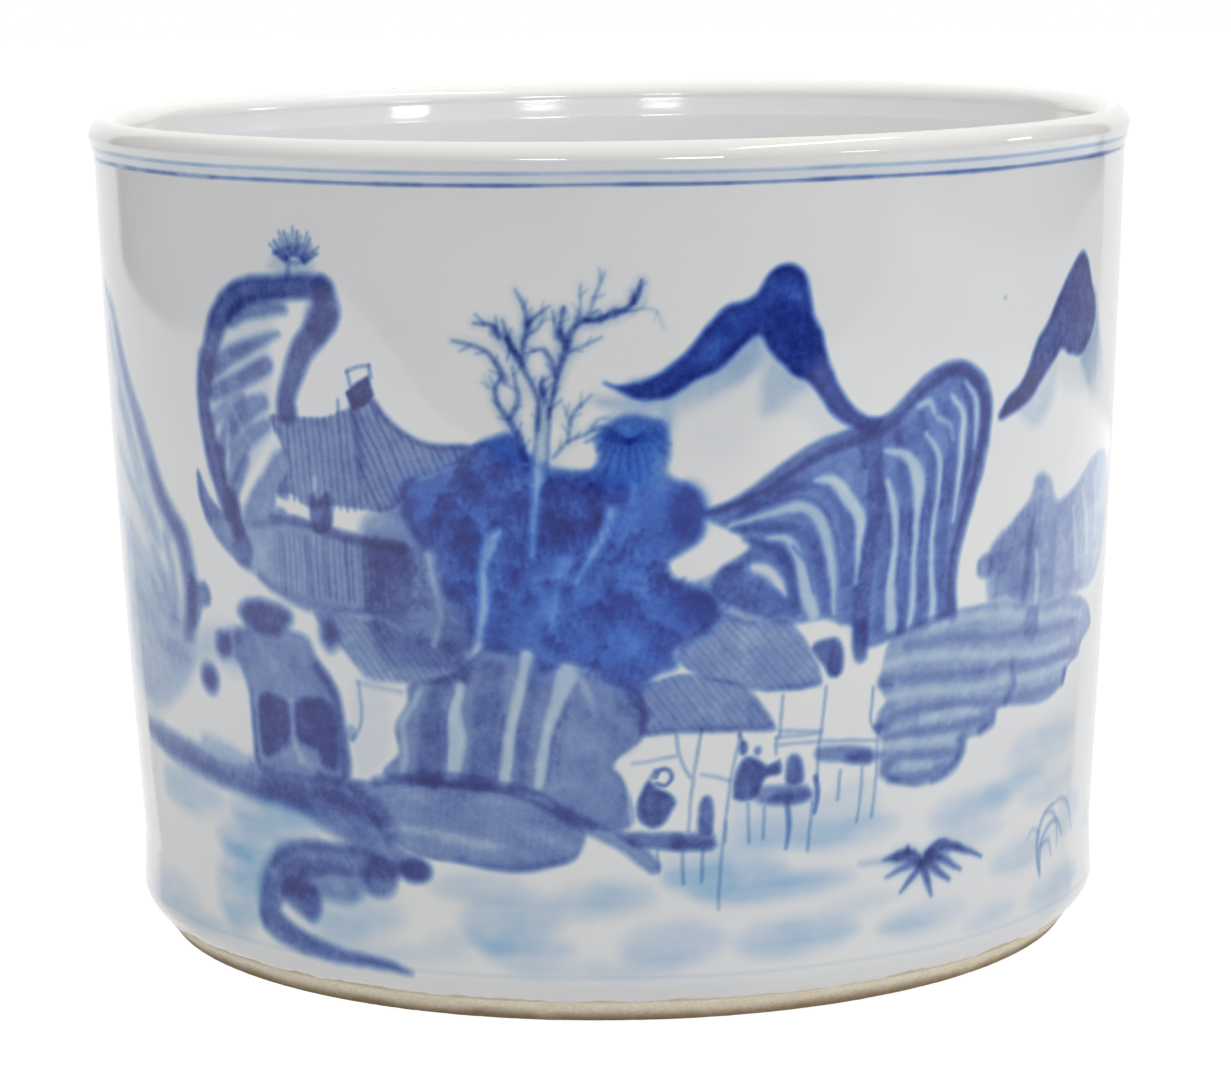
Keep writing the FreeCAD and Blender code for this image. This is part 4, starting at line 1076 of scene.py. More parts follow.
def sprig(b):
    """A spray of pointed leaves floating on the water."""
    for points, ink in (
            ([(60.6, 25.8, 1.4), (58.4, 27.4, 2.6), (55.6, 27.8, 2.2), (52.4, 27.6, 0.5)], 0.66),
            ([(57.2, 28.2, 1.4), (57.4, 29.2, 0.6)], 0.66),
            ([(60.6, 25.4, 1.2), (57.4, 25.6, 1.6), (53.0, 24.2, 0.4)], 0.46),
            ([(61.0, 25.2, 1.6), (58.6, 23.0, 1.4), (56.4, 20.8, 0.3)], 0.58),
            ([(61.4, 25.2, 2.0), (62.6, 22.2, 1.4), (63.8, 19.2, 0.3)], 0.66),
            ([(62.4, 26.0, 2.0), (65.0, 23.6, 1.5), (68.2, 21.4, 0.4)], 0.66),
            ([(62.8, 26.8, 2.0), (66.6, 25.4, 1.6), (71.2, 22.8, 0.4)], 0.66),
            ([(62.4, 26.8, 1.8), (65.2, 28.3, 2.2), (69.0, 27.6, 1.6), (73.0, 26.2, 1.0),
              (77.2, 24.4, 0.2)], 0.72)):
        b.line([(along, up, 1.6 * wide) for along, up, wide in points], 2.0, 0.10, soft=1.2)
        b.line(points, 1.6, ink, soft=0.5)
    b.dot(65.4, 27.0, 2.6, 1.3, 0.30, soft=0.8)
    b.dot(60.2, 26.0, 1.4, 1.2, 0.25, soft=0.7)
    b.line([(47, 27.4, 0.8), (52, 27.4, 1.6), (55, 27, 1.4)], 1.4, 0.14, soft=0.9)


def reeds(b):
    """A tuft of thin drooping grass."""
    for points, ink in (
            ([(98.4, 16.6, 0.8), (97.2, 21.6, 1.0), (97.4, 25.6, 0.9), (99.6, 28.4, 0.7),
              (102.8, 29.4, 0.3)], 0.28),
            ([(98.4, 17.6, 0.6), (98.8, 22.6, 0.8), (101.6, 25.4, 0.9), (105.6, 25.6, 0.7),
              (109.0, 22.4, 0.3)], 0.26),
            ([(99.6, 28.4, 0.5), (103.4, 27.6, 0.8), (105.8, 24.4, 0.6), (106.4, 20.4, 0.3)], 0.22),
            ([(102.6, 29.4, 0.4), (107.6, 29.6, 0.8), (112.2, 26.8, 0.7), (115.0, 22.0, 0.3)], 0.20),
            ([(98.8, 22.2, 0.5), (102.0, 22.4, 0.7), (103.8, 19.2, 0.3)], 0.22),
            ([(97.4, 25.0, 0.5), (94.6, 26.2, 0.6), (92.6, 24.4, 0.3)], 0.16)):
        b.line(points, 0.8, ink, soft=0.6)


def still_water(b, pools):
    """Broad level touches of thin blue, each of two or three strokes of a wet brush."""
    for along, up, wide, tall, ink in pools:
        for k, (share, slip, rise) in enumerate(((1.0, 0.0, 0.0), (0.62, 0.32, 0.38), (0.55, -0.36, -0.42))):
            x, y = along + slip * wide, up + rise * tall
            w, t = share * wide, (0.9 - 0.22 * k) * tall
            outline = [(x - w, y - 0.2 * t), (x - 0.6 * w, y + 0.7 * t), (x, y + t * (0.8 + 0.1 * k)),
                       (x + 0.7 * w, y + 0.5 * t), (x + w, y), (x + 0.5 * w, y - 0.8 * t),
                       (x - 0.4 * w, y - t)]
            b.fill(outline, ink * (1.0, 0.6, 0.6)[k], soft=1.6, pool=0.0, layer="water", blot=0.15,
                   streak=0.40)


FRONT_WATER = (
    (-98, 34.5, 13, 4.6, 0.34), (-103, 37, 8, 2.6, 0.30), (-70, 35.0, 14, 4.2, 0.40), (-81, 20, 9, 10, 0.52),
    (-77, 29, 12, 4.6, 0.40), (-72, 33, 10, 3, 0.25), (-110, 13, 14, 4.4, 0.32), (-98, 10.4, 10, 2.2, 0.18),
    (-52, 18.6, 11, 5.6, 0.28), (-58, 14.5, 9, 3.0, 0.20), (-20, 20, 10, 6.6, 0.45),
    (-17, 14.6, 9, 3.4, 0.28),
    (-27, 26, 9, 3.0, 0.28), (-31, 15.4, 6, 2.6, 0.15), (-3, 24.2, 10, 4.0, 0.34), (10, 15.6, 10, 4.6, 0.40),
    (3, 11.6, 9, 2.4, 0.20), (-12, 11.4, 9, 2.4, 0.16), (30, 25, 16, 2.8, 0.50), (20, 28.4, 12, 3.4, 0.40),
    (34, 15.6, 13, 4.2, 0.36), (47, 20, 8, 2.4, 0.20), (44, 33.8, 11, 3.8, 0.36), (28, 35, 12, 3.6, 0.24),
    (62, 15.2, 11, 3.0, 0.32), (74, 34, 12, 4.4, 0.30), (88, 37, 11, 3.2, 0.24), (76, 28.6, 8, 2.4, 0.16),
    (98, 42, 15, 6.0, 0.24), (92, 22.4, 12, 4.2, 0.24), (106, 12.8, 13, 4.2, 0.28), (80, 12.4, 8, 2.4, 0.20),
    (102, 33.6, 12, 3.4, 0.20), (112, 26, 8, 5, 0.18), (-44, 12, 16, 2.0, 0.16), (-90, 9.8, 12, 1.8, 0.16))


def boat(b):
    """An empty flat-bottomed boat with a matted shelter."""
    b.fill([(-14, 4.6), (-10, 2.4), (-4, 1.2), (4, 1.2), (10, 2.6), (14.4, 5.4), (8, 3.8), (0, 3.2),
            (-8, 3.6)], 0.72)
    shelter = [(-5, 3.4), (-4.4, 6.4), (-1.8, 8.2), (2, 8.2), (4.6, 6.4), (5.2, 3.4)]
    b.fill(shelter, 0.40, soft=0.4)
    b.hatch(shelter, 10, 1.2, 0.4, 0.30)
    b.line([(9, 3.4, 0.7), (11, 10, 0.6), (12.4, 17, 0.4)], 0.6, 0.42, soft=0.35)
    b.line([(-16, 0.6, 0.6), (0, 0.2, 1.0), (16, 0.8, 0.6)], 0.9, 0.20, soft=0.8)


def back_scene(b):
    """The far side: the landscape goes on, joined as on the front, with open water and boats in its gaps."""
    field = b.field
    pools = [(138 + 9.6 * k, 22 + 10 * math.sin(k * 2.3), 12 + 3 * math.sin(k * 1.3), 3.8 + math.sin(k), 0.34)
             for k in range(34)]
    still_water(b, pools)
    right_peak(Brush(field, about=(100, 118), to=(252, 124), scale=1.0, flip=True, strength=0.95))
    distant_peak(Brush(field, about=(25, 120), to=(432, 114), scale=0.84, flip=True, strength=0.82))
    cliffs = Brush(field, about=(60, 60), to=(204, 60))
    for motif in (distant_peak, far_rock, striped_rock, terraces):
        motif(cliffs)
    village = Brush(field, about=(-30, 40), to=(334, 40), scale=0.94, flip=True)
    for motif in (overhanging_rock, pavilion, spiky_leaf, house, foliage, bare_tree, trunks, shore, mound,
                  curled_rock):
        motif(village)
    far_rock(Brush(field, about=(90, 80), to=(444, 62), scale=0.7, strength=0.9))
    boat(Brush(field, to=(168, 46), scale=1.3))
    boat(Brush(field, to=(432, 34), scale=1.2, flip=True, strength=0.9))
    boat(Brush(field, to=(262, 40), scale=0.8, strength=0.8))
    sprig(Brush(field, about=(62, 24), to=(272, 20), scale=0.95, flip=True))
    sprig(Brush(field, about=(62, 24), to=(180, 24), scale=0.9))
    reeds(Brush(field, about=(102, 22), to=(226, 22), scale=1.2, strength=1.5))
    reeds(Brush(field, about=(102, 22), to=(456, 20), scale=1.1, flip=True, strength=1.4))


def rim_lines(field, rng_seed):
    """Two thin bands under the lip with a pale wash between them, and a faint one above the foot."""
    rng = np.random.default_rng(rng_seed)
    shape = (1, field.cols)
    wander = 0.14 * smooth_noise(*shape, 1, 46, rng)[0]
    breaks = smooth_noise(*shape, 1, 90, rng)[0] + 0.6 * smooth_noise(*shape, 1, 260, rng)[0]
    u = (np.arange(field.cols) + 0.5) * field.cell_u - GIRTH / 2
    uneven = smoothstep(20, -60, u) * smoothstep(-200, -130, u)
    z = ((np.arange(field.rows) + 0.5) * field.cell_z)[:, None]
    upper = HEIGHT - 5.35 + wander
    lower = HEIGHT - 7.45 + wander
    thick = 0.30 + 0.07 * breaks
    whole = np.ix_(range(field.rows), range(field.cols))

    def band(at, half, soft):
        return 1 - smoothstep(half - soft, half + soft, np.abs(z - at))

    strong = 0.72 - 0.50 * uneven * smoothstep(0.0, 0.9, breaks) + 0.12 * breaks
    field.lay(whole, strong * band(lower, thick, 0.25))
    field.lay(whole, (0.27 + 0.07 * breaks) * band(upper, 0.26, 0.25))
    field.lay(whole, 0.05 * band((upper + lower) / 2, 1.0, 0.4))
    field.lay(whole, 0.055 * band(9.4 + wander, 0.30, 0.35))


def paint_landscape(cell, tremor):
    """Brushes the whole landscape, from the water to the lines at the rim."""
    field = PaintField(cell, tremor, seed=8)
    b = Brush(field)
    still_water(b, FRONT_WATER)
    back_scene(b)
    left_mountain(b)
    distant_peak(b)
    right_peak(b)
    far_rock(b)
    overhanging_rock(Brush(field, strength=0.88))
    pavilion(Brush(field, strength=1.10))
    spiky_leaf(b)
    house(Brush(field, strength=1.13))
    striped_rock(b)
    foliage(b)
    bare_tree(b)
    terraces(b)
    trunks(b)
    shore(Brush(field, strength=1.20))
    mound(Brush(field, strength=0.95))
    curled_rock(b)
    water_pavilions(Brush(field, strength=0.94))
    sprig(b)
    reeds(b)
    rim_lines(field, 31)
    return field


# ---------------------------------------------------------------- turned meshes

CLAY_POINTS_ROUND = 900
WELL_POINTS_ROUND = 720
BASE_POINTS_ROUND = 480
BUSY_REACH = 120.0


def even_angles(count):
    """Angles round the pot, evenly spaced, from its back."""
    return np.arange(count) / count * 2 * math.pi - math.pi


def wall_angles(fine, coarse, reach):
    """Angles round the wall, closer together on the busier side within reach of its middle."""
    half = reach / PAINT_RADIUS
    near = np.linspace(-half, half, math.ceil(2 * reach / fine), endpoint=False)
    far = np.linspace(half, 2 * math.pi - half, math.ceil((GIRTH - 2 * reach) / coarse), endpoint=False)
    return np.concatenate([near, far])


def lip_fall(angles, height, fall, towards):
    """How far the lip has sunk in the kiln: most on one side, nothing below the upper wall."""
    apart = (angles - towards + math.pi) % (2 * math.pi) - math.pi
    return fall * np.exp(-(apart / 0.87) ** 2) * smoothstep(HEIGHT - 40, HEIGHT, height)


def turned_mesh(name, section, angles, shape=None, flip=False, cap=False):
    """Turns a section in millimetres round the pot's axis and returns the mesh with its point grid."""
    rows, cols = len(section), len(angles)
    radius = np.repeat(section[:, 0:1], cols, axis=1)
    height = np.repeat(section[:, 1:2], cols, axis=1)
    if shape:
        radius, height = shape(radius, height, angles[None, :])
    points = np.stack([radius * np.sin(angles), -radius * np.cos(angles), height], axis=2).reshape(-1, 3) * MM
    row = np.arange(rows - 1)[:, None] * cols
    here = np.arange(cols)[None, :]
    beyond = (here + 1) % cols
    around = [row + here, row + beyond, row + cols + beyond, row + cols + here]
    quads = np.stack(around, axis=2).reshape(-1, 4)
    faces = [quads]
    ends = {"both": ((rows - 1, True), (0, False)), True: ((rows - 1, True),), False: ()}[cap]
    for ring, first in ends:
        centre = len(points)
        middle = np.array([[0.0, 0.0, height[ring].mean() * MM]])
        points = np.vstack([points, middle])
        fan = np.stack([ring * cols + here[0], ring * cols + beyond[0], np.full(cols, centre)], axis=1)
        faces.append(fan if first else fan[:, ::-1])
    mesh = bpy.data.meshes.new(name)
    sizes = np.concatenate([np.full(len(f), f.shape[1], np.int32) for f in faces])
    corners = np.concatenate([(f[:, ::-1] if flip else f).ravel() for f in faces]).astype(np.int32)
    mesh.vertices.add(len(points))
    mesh.vertices.foreach_set("co", points.astype(np.float32).ravel())
    mesh.loops.add(len(corners))
    mesh.loops.foreach_set("vertex_index", corners)
    mesh.polygons.add(len(sizes))
    mesh.polygons.foreach_set("loop_start", np.concatenate([[0], np.cumsum(sizes)[:-1]]).astype(np.int32))
    mesh.polygons.foreach_set("loop_total", sizes)
    mesh.update(calc_edges=True)
    mesh.validate()
    mesh.shade_smooth()
    return mesh, radius, height


def add_piece(name, mesh, node, material):
    """Puts a piece in the scene, in place of its CAD node, on the pot's one body."""
    piece = bpy.data.objects.new(name, mesh)
    bpy.context.scene.collection.objects.link(piece)
    mesh.materials.append(material)
    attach(piece, "root")
    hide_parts(node)
    return piece


def store(mesh, name, values):
    """Keeps values at a mesh's points under a name; the points that close its ends get nought."""
    layer = mesh.attributes.new(name, "FLOAT", "POINT")
    full = np.zeros(len(mesh.vertices), np.float32)
    full[:values.size] = values.ravel()
    layer.data.foreach_set("value", full)


def read_field(field, array, angles, height):
    """Values of a field at the wall's points."""
    across = (angles * PAINT_RADIUS + GIRTH / 2) / field.cell_u - 0.5
    up = np.clip(height / field.cell_z - 0.5, 0, field.rows - 1.001)
    left = np.floor(across).astype(int)
    low = np.floor(up).astype(int)
    s, v = across - left, up - low
    a, b = left % field.cols, (left + 1) % field.cols
    return ((array[low, a] * (1 - s) + array[low, b] * s) * (1 - v)
            + (array[low + 1, a] * (1 - s) + array[low + 1, b] * s) * v)


# ---------------------------------------------------------------- node helpers and shared effects

def add_node(tree, kind, inputs=None, **values):
    """Adds a shader node, sets its values and either sets or links its inputs."""
    node = tree.nodes.new(kind)
    for key, value in values.items():
        setattr(node, key, value)
    for key, value in (inputs or {}).items():
        if isinstance(value, bpy.types.NodeSocket):
            tree.links.new(value, node.inputs[key])
        else:
            node.inputs[key].default_value = value
    return node


def maths(tree, operation, a, b=0.0, clamp=False):
    """One step of arithmetic in the node tree."""
    return add_node(tree, "ShaderNodeMath", {0: a, 1: b}, operation=operation, use_clamp=clamp).outputs[0]


def colour_mix(tree, blend, factor, a, b):
    """Blends two colours."""
    node = add_node(tree, "ShaderNodeMix", data_type="RGBA", blend_type=blend)
    for index, value in ((0, factor), (6, a), (7, b)):
        if isinstance(value, bpy.types.NodeSocket):
            tree.links.new(value, node.inputs[index])
        else:
            node.inputs[index].default_value = value
    return node.outputs[2]


def noise(tree, where, scale, detail=2.0, roughness=0.5):
    """Soft noise between 0 and 1."""
    inputs = {"Vector": where, "Scale": scale, "Detail": detail, "Roughness": roughness}
    return add_node(tree, "ShaderNodeTexNoise", inputs).outputs[0]


def map_range(tree, value, low, high, to_low=0.0, to_high=1.0):
    """Smooth step from one value to another."""
    inputs = {0: value, 1: low, 2: high, 3: to_low, 4: to_high}
    return add_node(tree, "ShaderNodeMapRange", inputs, clamp=True,
                    interpolation_type="SMOOTHSTEP").outputs[0]


def new_group(name, inputs, outputs):
    """A shader node group with named sockets. Inputs are (name, kind, default, lowest, highest)."""
    tree = bpy.data.node_groups.new(name, "ShaderNodeTree")
    for label, kind, default, *limits in inputs:
        socket = tree.interface.new_socket(label, in_out="INPUT", socket_type=kind)
        if default is not None:
            socket.default_value = default
        if limits:
            socket.min_value, socket.max_value = limits
    for label, kind in outputs:
        tree.interface.new_socket(label, in_out="OUTPUT", socket_type=kind)
    return tree, tree.nodes.new("NodeGroupInput").outputs, tree.nodes.new("NodeGroupOutput").inputs


def fired_glaze_group():
    """Skin of a fired glaze: slow ripple, orange peel and pinholes as a height, and a slow drift of tone."""
    name = "Fired glaze skin"
    if name in bpy.data.node_groups:
        return bpy.data.node_groups[name]
    tree, given, result = new_group(
        name,
        (("Position", "NodeSocketVector", None), ("Pinholes", "NodeSocketFloat", 1.0, 0.0, 4.0)),
        (("Height", "NodeSocketFloat"), ("Tone", "NodeSocketFloat"), ("Pits", "NodeSocketFloat")))
    where = given["Position"]
    ripple = noise(tree, where, 62.0, 1.0)
    peel = noise(tree, where, 520.0, 2.0)
    cells = add_node(tree, "ShaderNodeTexVoronoi", {"Vector": where, "Scale": 170.0})
    rare = add_node(tree, "ShaderNodeSeparateColor", {0: cells.outputs["Color"]}).outputs[0]
    chosen = maths(tree, "GREATER_THAN", rare, 0.90)
    hole = map_range(tree, cells.outputs["Distance"], 0.05, 0.11, 1.0, 0.0)
    pits = maths(tree, "MULTIPLY", maths(tree, "MULTIPLY", hole, chosen), given["Pinholes"], clamp=True)
    height = maths(tree, "ADD", maths(tree, "MULTIPLY", ripple, 0.8), maths(tree, "MULTIPLY", peel, 0.05))
    tree.links.new(maths(tree, "SUBTRACT", height, maths(tree, "MULTIPLY", pits, 0.25)), result["Height"])
    tree.links.new(noise(tree, where, 21.0, 3.0), result["Tone"])
    tree.links.new(pits, result["Pits"])
    return tree


def kiln_specks_group():
    """Small iron specks that the clay throws up through the surface."""
    name = "Kiln specks"
    if name in bpy.data.node_groups:
        return bpy.data.node_groups[name]
    tree, given, result = new_group(
        name,
        (("Position", "NodeSocketVector", None), ("Colour", "NodeSocketColor", (0.8, 0.8, 0.8, 1.0)),
         ("Speck Colour", "NodeSocketColor", (0.12, 0.09, 0.07, 1.0)),
         ("Scale", "NodeSocketFloat", 90.0, 1.0, 900.0), ("Share", "NodeSocketFloat", 0.03, 0.0, 1.0)),
        (("Colour", "NodeSocketColor"), ("Mask", "NodeSocketFloat")))
    cells = add_node(tree, "ShaderNodeTexVoronoi", {"Vector": given["Position"], "Scale": given["Scale"]})
    parts = add_node(tree, "ShaderNodeSeparateColor", {0: cells.outputs["Color"]}).outputs
    chosen = maths(tree, "LESS_THAN", parts[0], given["Share"])
    size = map_range(tree, parts[1], 0.0, 1.0, 0.04, 0.12)
    near = maths(tree, "LESS_THAN", cells.outputs["Distance"], size)
    mask = maths(tree, "MULTIPLY", maths(tree, "MULTIPLY", near, chosen), 0.75)
    tree.links.new(colour_mix(tree, "MIX", mask, given["Colour"], given["Speck Colour"]), result["Colour"])
    tree.links.new(mask, result["Mask"])
    return tree


# What the freshest brushwork multiplies the cobalt's colour by.
VIVID_TINT = (0.44, 0.86, 1.30, 1.0)


def cobalt_group(deep, middle, pale, water):
    """Cobalt seen through the glaze: thin paint is clear blue, thick paint is inky, and both granulate."""
    tree, given, result = new_group(
        "Cobalt under glaze",
        (("Position", "NodeSocketVector", None), ("Paint", "NodeSocketFloat", 0.0, 0.0, 2.0),
         ("Water", "NodeSocketFloat", 0.0, 0.0, 2.0), ("Vivid", "NodeSocketFloat", 0.0, 0.0, 2.0),
         ("Granulation", "NodeSocketFloat", 0.2, 0.0, 1.0),
         ("Porcelain", "NodeSocketColor", (0.8, 0.8, 0.8, 1.0))),
        (("Colour", "NodeSocketColor"), ("Density", "NodeSocketFloat")))
    where = given["Position"]
    coarse = maths(tree, "MULTIPLY", maths(tree, "SUBTRACT", noise(tree, where, 230.0, 2.0, 0.6), 0.5), 0.7)
    fine = maths(tree, "SUBTRACT", noise(tree, where, 760.0, 3.0, 0.7), 0.5)
    bleed = maths(tree, "SUBTRACT", noise(tree, where, 75.0, 2.0), 0.5)
    grain = maths(tree, "ADD", maths(tree, "ADD", coarse, maths(tree, "MULTIPLY", fine, 1.2)), bleed)
    amount = maths(tree, "MULTIPLY", given["Granulation"], 3.0)
    factor = maths(tree, "ADD", maths(tree, "MULTIPLY", grain, amount), 1.0)
    density = maths(tree, "MULTIPLY", given["Paint"], factor)
    share = maths(tree, "DIVIDE", density, PaintField.FULL, clamp=True)
    ramp = add_node(tree, "ShaderNodeValToRGB", {0: share})
    stops = ramp.color_ramp.elements
    stops[0].color = (1.0, 1.0, 1.0, 1.0)
    stops[1].color = (*(0.5 * d for d in deep), 1.0)
    light = tuple(math.sqrt(a * b) for a, b in zip(pale, middle))
    dense = tuple(math.sqrt(a * b) for a, b in zip(middle, deep))
    for strength, colour in ((0.15, pale), (0.40, light), (0.65, middle), (0.87, dense), (1.12, deep)):
        stops.new(strength / PaintField.FULL).color = (*colour, 1.0)
    uneven = maths(tree, "ADD", maths(tree, "MULTIPLY", bleed, 0.8), 1.0)
    thin = maths(tree, "MULTIPLY", given["Water"], uneven, clamp=True)
    wash = colour_mix(tree, "MIX", thin, (1.0, 1.0, 1.0, 1.0), (*water, 1.0))
    painted = maths(tree, "MULTIPLY", density, 2.0, clamp=True)
    fresh = maths(tree, "MULTIPLY", given["Vivid"], painted, clamp=True)
    bright = colour_mix(tree, "MULTIPLY", fresh, ramp.outputs["Color"], VIVID_TINT)
    both = colour_mix(tree, "MULTIPLY", 1.0, bright, wash)
    tree.links.new(colour_mix(tree, "MULTIPLY", 1.0, both, given["Porcelain"]), result["Colour"])
    tree.links.new(density, result["Density"])
    return tree


# ---------------------------------------------------------------- materials

# How the well's and the base's glaze differ in colour from the outside wall's; the well's is lifted above
# white as painted light for its inside.
WELL_PAINTED_LIGHT = (1.13, 1.13, 1.125)
BASE_TINT = (0.97, 0.985, 0.98)


def new_material(name, roughness, specular):
    """A material with one shader, and the place that its textures are worked out from."""
    material = bpy.data.materials.new(name)
    material.use_nodes = True
    tree = material.node_tree
    tree.nodes.clear()
    inputs = {"Roughness": roughness, "Specular IOR Level": specular, "IOR": 1.5}
    shader = add_node(tree, "ShaderNodeBsdfPrincipled", inputs)
    output = tree.nodes.new("ShaderNodeOutputMaterial")
    tree.links.new(shader.outputs[0], output.inputs["Surface"])
    where = add_node(tree, "ShaderNodeTexCoord").outputs["Object"]
    return material, tree, shader, where


def speckled(tree, where, colour, scale, share):
    """Throws iron specks over a colour and returns the speckled colour."""
    specks = add_node(tree, "ShaderNodeGroup", node_tree=kiln_specks_group())
    tree.links.new(where, specks.inputs["Position"])
    tree.links.new(colour, specks.inputs["Colour"])
    specks.inputs["Scale"].default_value = scale
    specks.inputs["Share"].default_value = share
    return specks.outputs["Colour"]


def glaze_colour(tree, where, skin, speck_share, lip_tint, settings):
    """White glaze with its slow drift of tone, turning creamy where it runs thin over the lip."""
    tone = map_range(tree, skin.outputs["Tone"], 0.3, 0.7)
    cool = tuple(0.965 * c for c in settings.glaze_colour)
    cooler = (cool[0], cool[1], settings.glaze_colour[2], 1.0)
    body = colour_mix(tree, "MIX", tone, (*settings.glaze_colour, 1.0), cooler)
    up = add_node(tree, "ShaderNodeSeparateXYZ", {0: where}).outputs["Z"]
    worn = noise(tree, where, 130.0, 3.0)
    edge = maths(tree, "ADD", up, maths(tree, "MULTIPLY", maths(tree, "SUBTRACT", worn, 0.5), 0.0016))
    thin = map_range(tree, edge, (HEIGHT - 4.4) * MM, (HEIGHT - 0.6) * MM, 0.0, lip_tint)
    lipped = colour_mix(tree, "MIX", thin, body, (*settings.lip_colour, 1.0))
    return speckled(tree, where, lipped, 60.0, speck_share)


def skin_bump(tree, shader, where, settings, strength, gloss):
    """Adds the fired glaze skin to a material and returns its group node."""
    skin = add_node(tree, "ShaderNodeGroup", node_tree=fired_glaze_group())
    tree.links.new(where, skin.inputs["Position"])
    skin.inputs["Pinholes"].default_value = settings.pinholes
    bump = add_node(tree, "ShaderNodeBump", {"Height": skin.outputs["Height"], "Strength": strength,
                                             "Distance": settings.ripple_height})
    tree.links.new(bump.outputs["Normal"], shader.inputs["Normal"])
    rough = map_range(tree, skin.outputs["Tone"], 0.3, 0.7, gloss, 1.5 * gloss)
    tree.links.new(rough, shader.inputs["Roughness"])
    return skin


def painted_glaze_material(paint, glaze):
    """White glaze over the cobalt of the outside wall."""
    material, tree, shader, where = new_material("Blue painted glaze", glaze.gloss_roughness, glaze.shine)
    skin = skin_bump(tree, shader, where, glaze, 0.5, glaze.gloss_roughness)
    cobalt = add_node(tree, "ShaderNodeGroup",
                      node_tree=cobalt_group(paint.deep_cobalt, paint.clear_cobalt, paint.pale_cobalt,
                                             paint.water_blue))
    tree.links.new(where, cobalt.inputs["Position"])
    tree.links.new(glaze_colour(tree, where, skin, 0.012, 0.45, glaze), cobalt.inputs["Porcelain"])
    for label, layer in (("Paint", "cobalt"), ("Water", "water"), ("Vivid", "vivid")):
        value = add_node(tree, "ShaderNodeAttribute", attribute_name=layer).outputs["Fac"]
        tree.links.new(value, cobalt.inputs[label])
    cobalt.inputs["Granulation"].default_value = paint.granulation
    tree.links.new(cobalt.outputs["Colour"], shader.inputs["Base Color"])
    return material


def plain_glaze_material(name, glaze, tint, share, lip_tint, ripple, gloss):
    """White glaze without paint, for the well and the base; for the well, tint is painted light that lifts it
    above white.
    """
    material, tree, shader, where = new_material(name, gloss, glaze.shine)
    skin = skin_bump(tree, shader, where, glaze, ripple, gloss)
    colour = glaze_colour(tree, where, skin, share, lip_tint, glaze)
    # For the well, tint lifts the glaze above white: painted light for its shaded inside.
    tinted = colour_mix(tree, "MULTIPLY", 1.0, colour, (*tint, 1.0))
    tree.links.new(tinted, shader.inputs["Base Color"])
    return material


def bare_clay_material(foot):
    """Unglazed foot: fine grit, toasted darker towards the edge it stands on and where the glaze stops; the
    dark at its lower edge is also painted shade.
    """
    material, tree, shader, where = new_material("Bare foot clay", 0.85, 0.25)
    up = add_node(tree, "ShaderNodeSeparateXYZ", {0: where}).outputs["Z"]
    patchy = noise(tree, where, 95.0, 4.0, 0.62)
    grit = noise(tree, where, 1500.0, 3.0, 0.7)
    shifted = maths(tree, "ADD", up, maths(tree, "MULTIPLY", maths(tree, "SUBTRACT", patchy, 0.5), 0.0030))
    # Toast and painted shade: darker towards the edge that the pot stands on.
    toast_and_shade = map_range(tree, shifted, 0.0002, 0.0030, 1.0, 0.0)
    flash = map_range(tree, up, (SHOULDER_HEIGHT - 0.7) * MM, (SHOULDER_HEIGHT - 0.1) * MM, 0.0, 0.55)
    clay = colour_mix(tree, "MIX", map_range(tree, patchy, 0.35, 0.65, 0.0, 0.5), (*foot.clay_colour, 1.0),
                      (*foot.sandy_colour, 1.0))
    burnt_and_shaded = colour_mix(tree, "MIX", maths(tree, "MULTIPLY", toast_and_shade, 0.9), clay, (*foot.toasted_and_shaded_colour, 1.0))
    lined = colour_mix(tree, "MIX", flash, burnt_and_shaded, (*foot.flash_colour, 1.0))
    gritty = colour_mix(tree, "MULTIPLY", 0.5, lined, map_range(tree, grit, 0.25, 0.75, 0.72, 1.12))
    tree.links.new(speckled(tree, where, gritty, 520.0, 0.30), shader.inputs["Base Color"])
    bump = add_node(tree, "ShaderNodeBump", {"Height": grit, "Strength": 0.7, "Distance": 0.00015})
    tree.links.new(bump.outputs["Normal"], shader.inputs["Normal"])
    return material


# ---------------------------------------------------------------- settings

class BrushPotPaint(bpy.types.PropertyGroup):
    cell: FloatProperty(name="Paint grain", description="Grid on which the landscape is brushed",
                        default=0.3 * MM, min=0.1 * MM, unit="LENGTH", precision=5)
    tremor: FloatProperty(name="Hand tremor", description="How far a brush line wanders", default=0.28 * MM,
                          unit="LENGTH", precision=5)
    granulation: FloatProperty(name="Granulation", description="How blotchy the fired cobalt is",
                               default=0.16, min=0.0, max=1.0, subtype="FACTOR")
    deep_cobalt: FloatVectorProperty(name="Deep cobalt",
                                     description="Thickest paint, as a share of the glaze's light",
                                     default=(0.028, 0.041, 0.25), size=3, min=0.0, max=1.0, subtype="COLOR")
    clear_cobalt: FloatVectorProperty(name="Clear cobalt", description="Paint of middle strength",
                                      default=(0.122, 0.20, 0.535), size=3, min=0.0, max=1.0, subtype="COLOR")
    pale_cobalt: FloatVectorProperty(name="Pale cobalt", description="Thin grey-blue wash",
                                     default=(0.54, 0.69, 0.87), size=3, min=0.0, max=1.0, subtype="COLOR")
    water_blue: FloatVectorProperty(name="Water blue", description="The thin clear wash of the water",
                                    default=(0.30, 0.58, 0.86), size=3, min=0.0, max=1.0, subtype="COLOR")


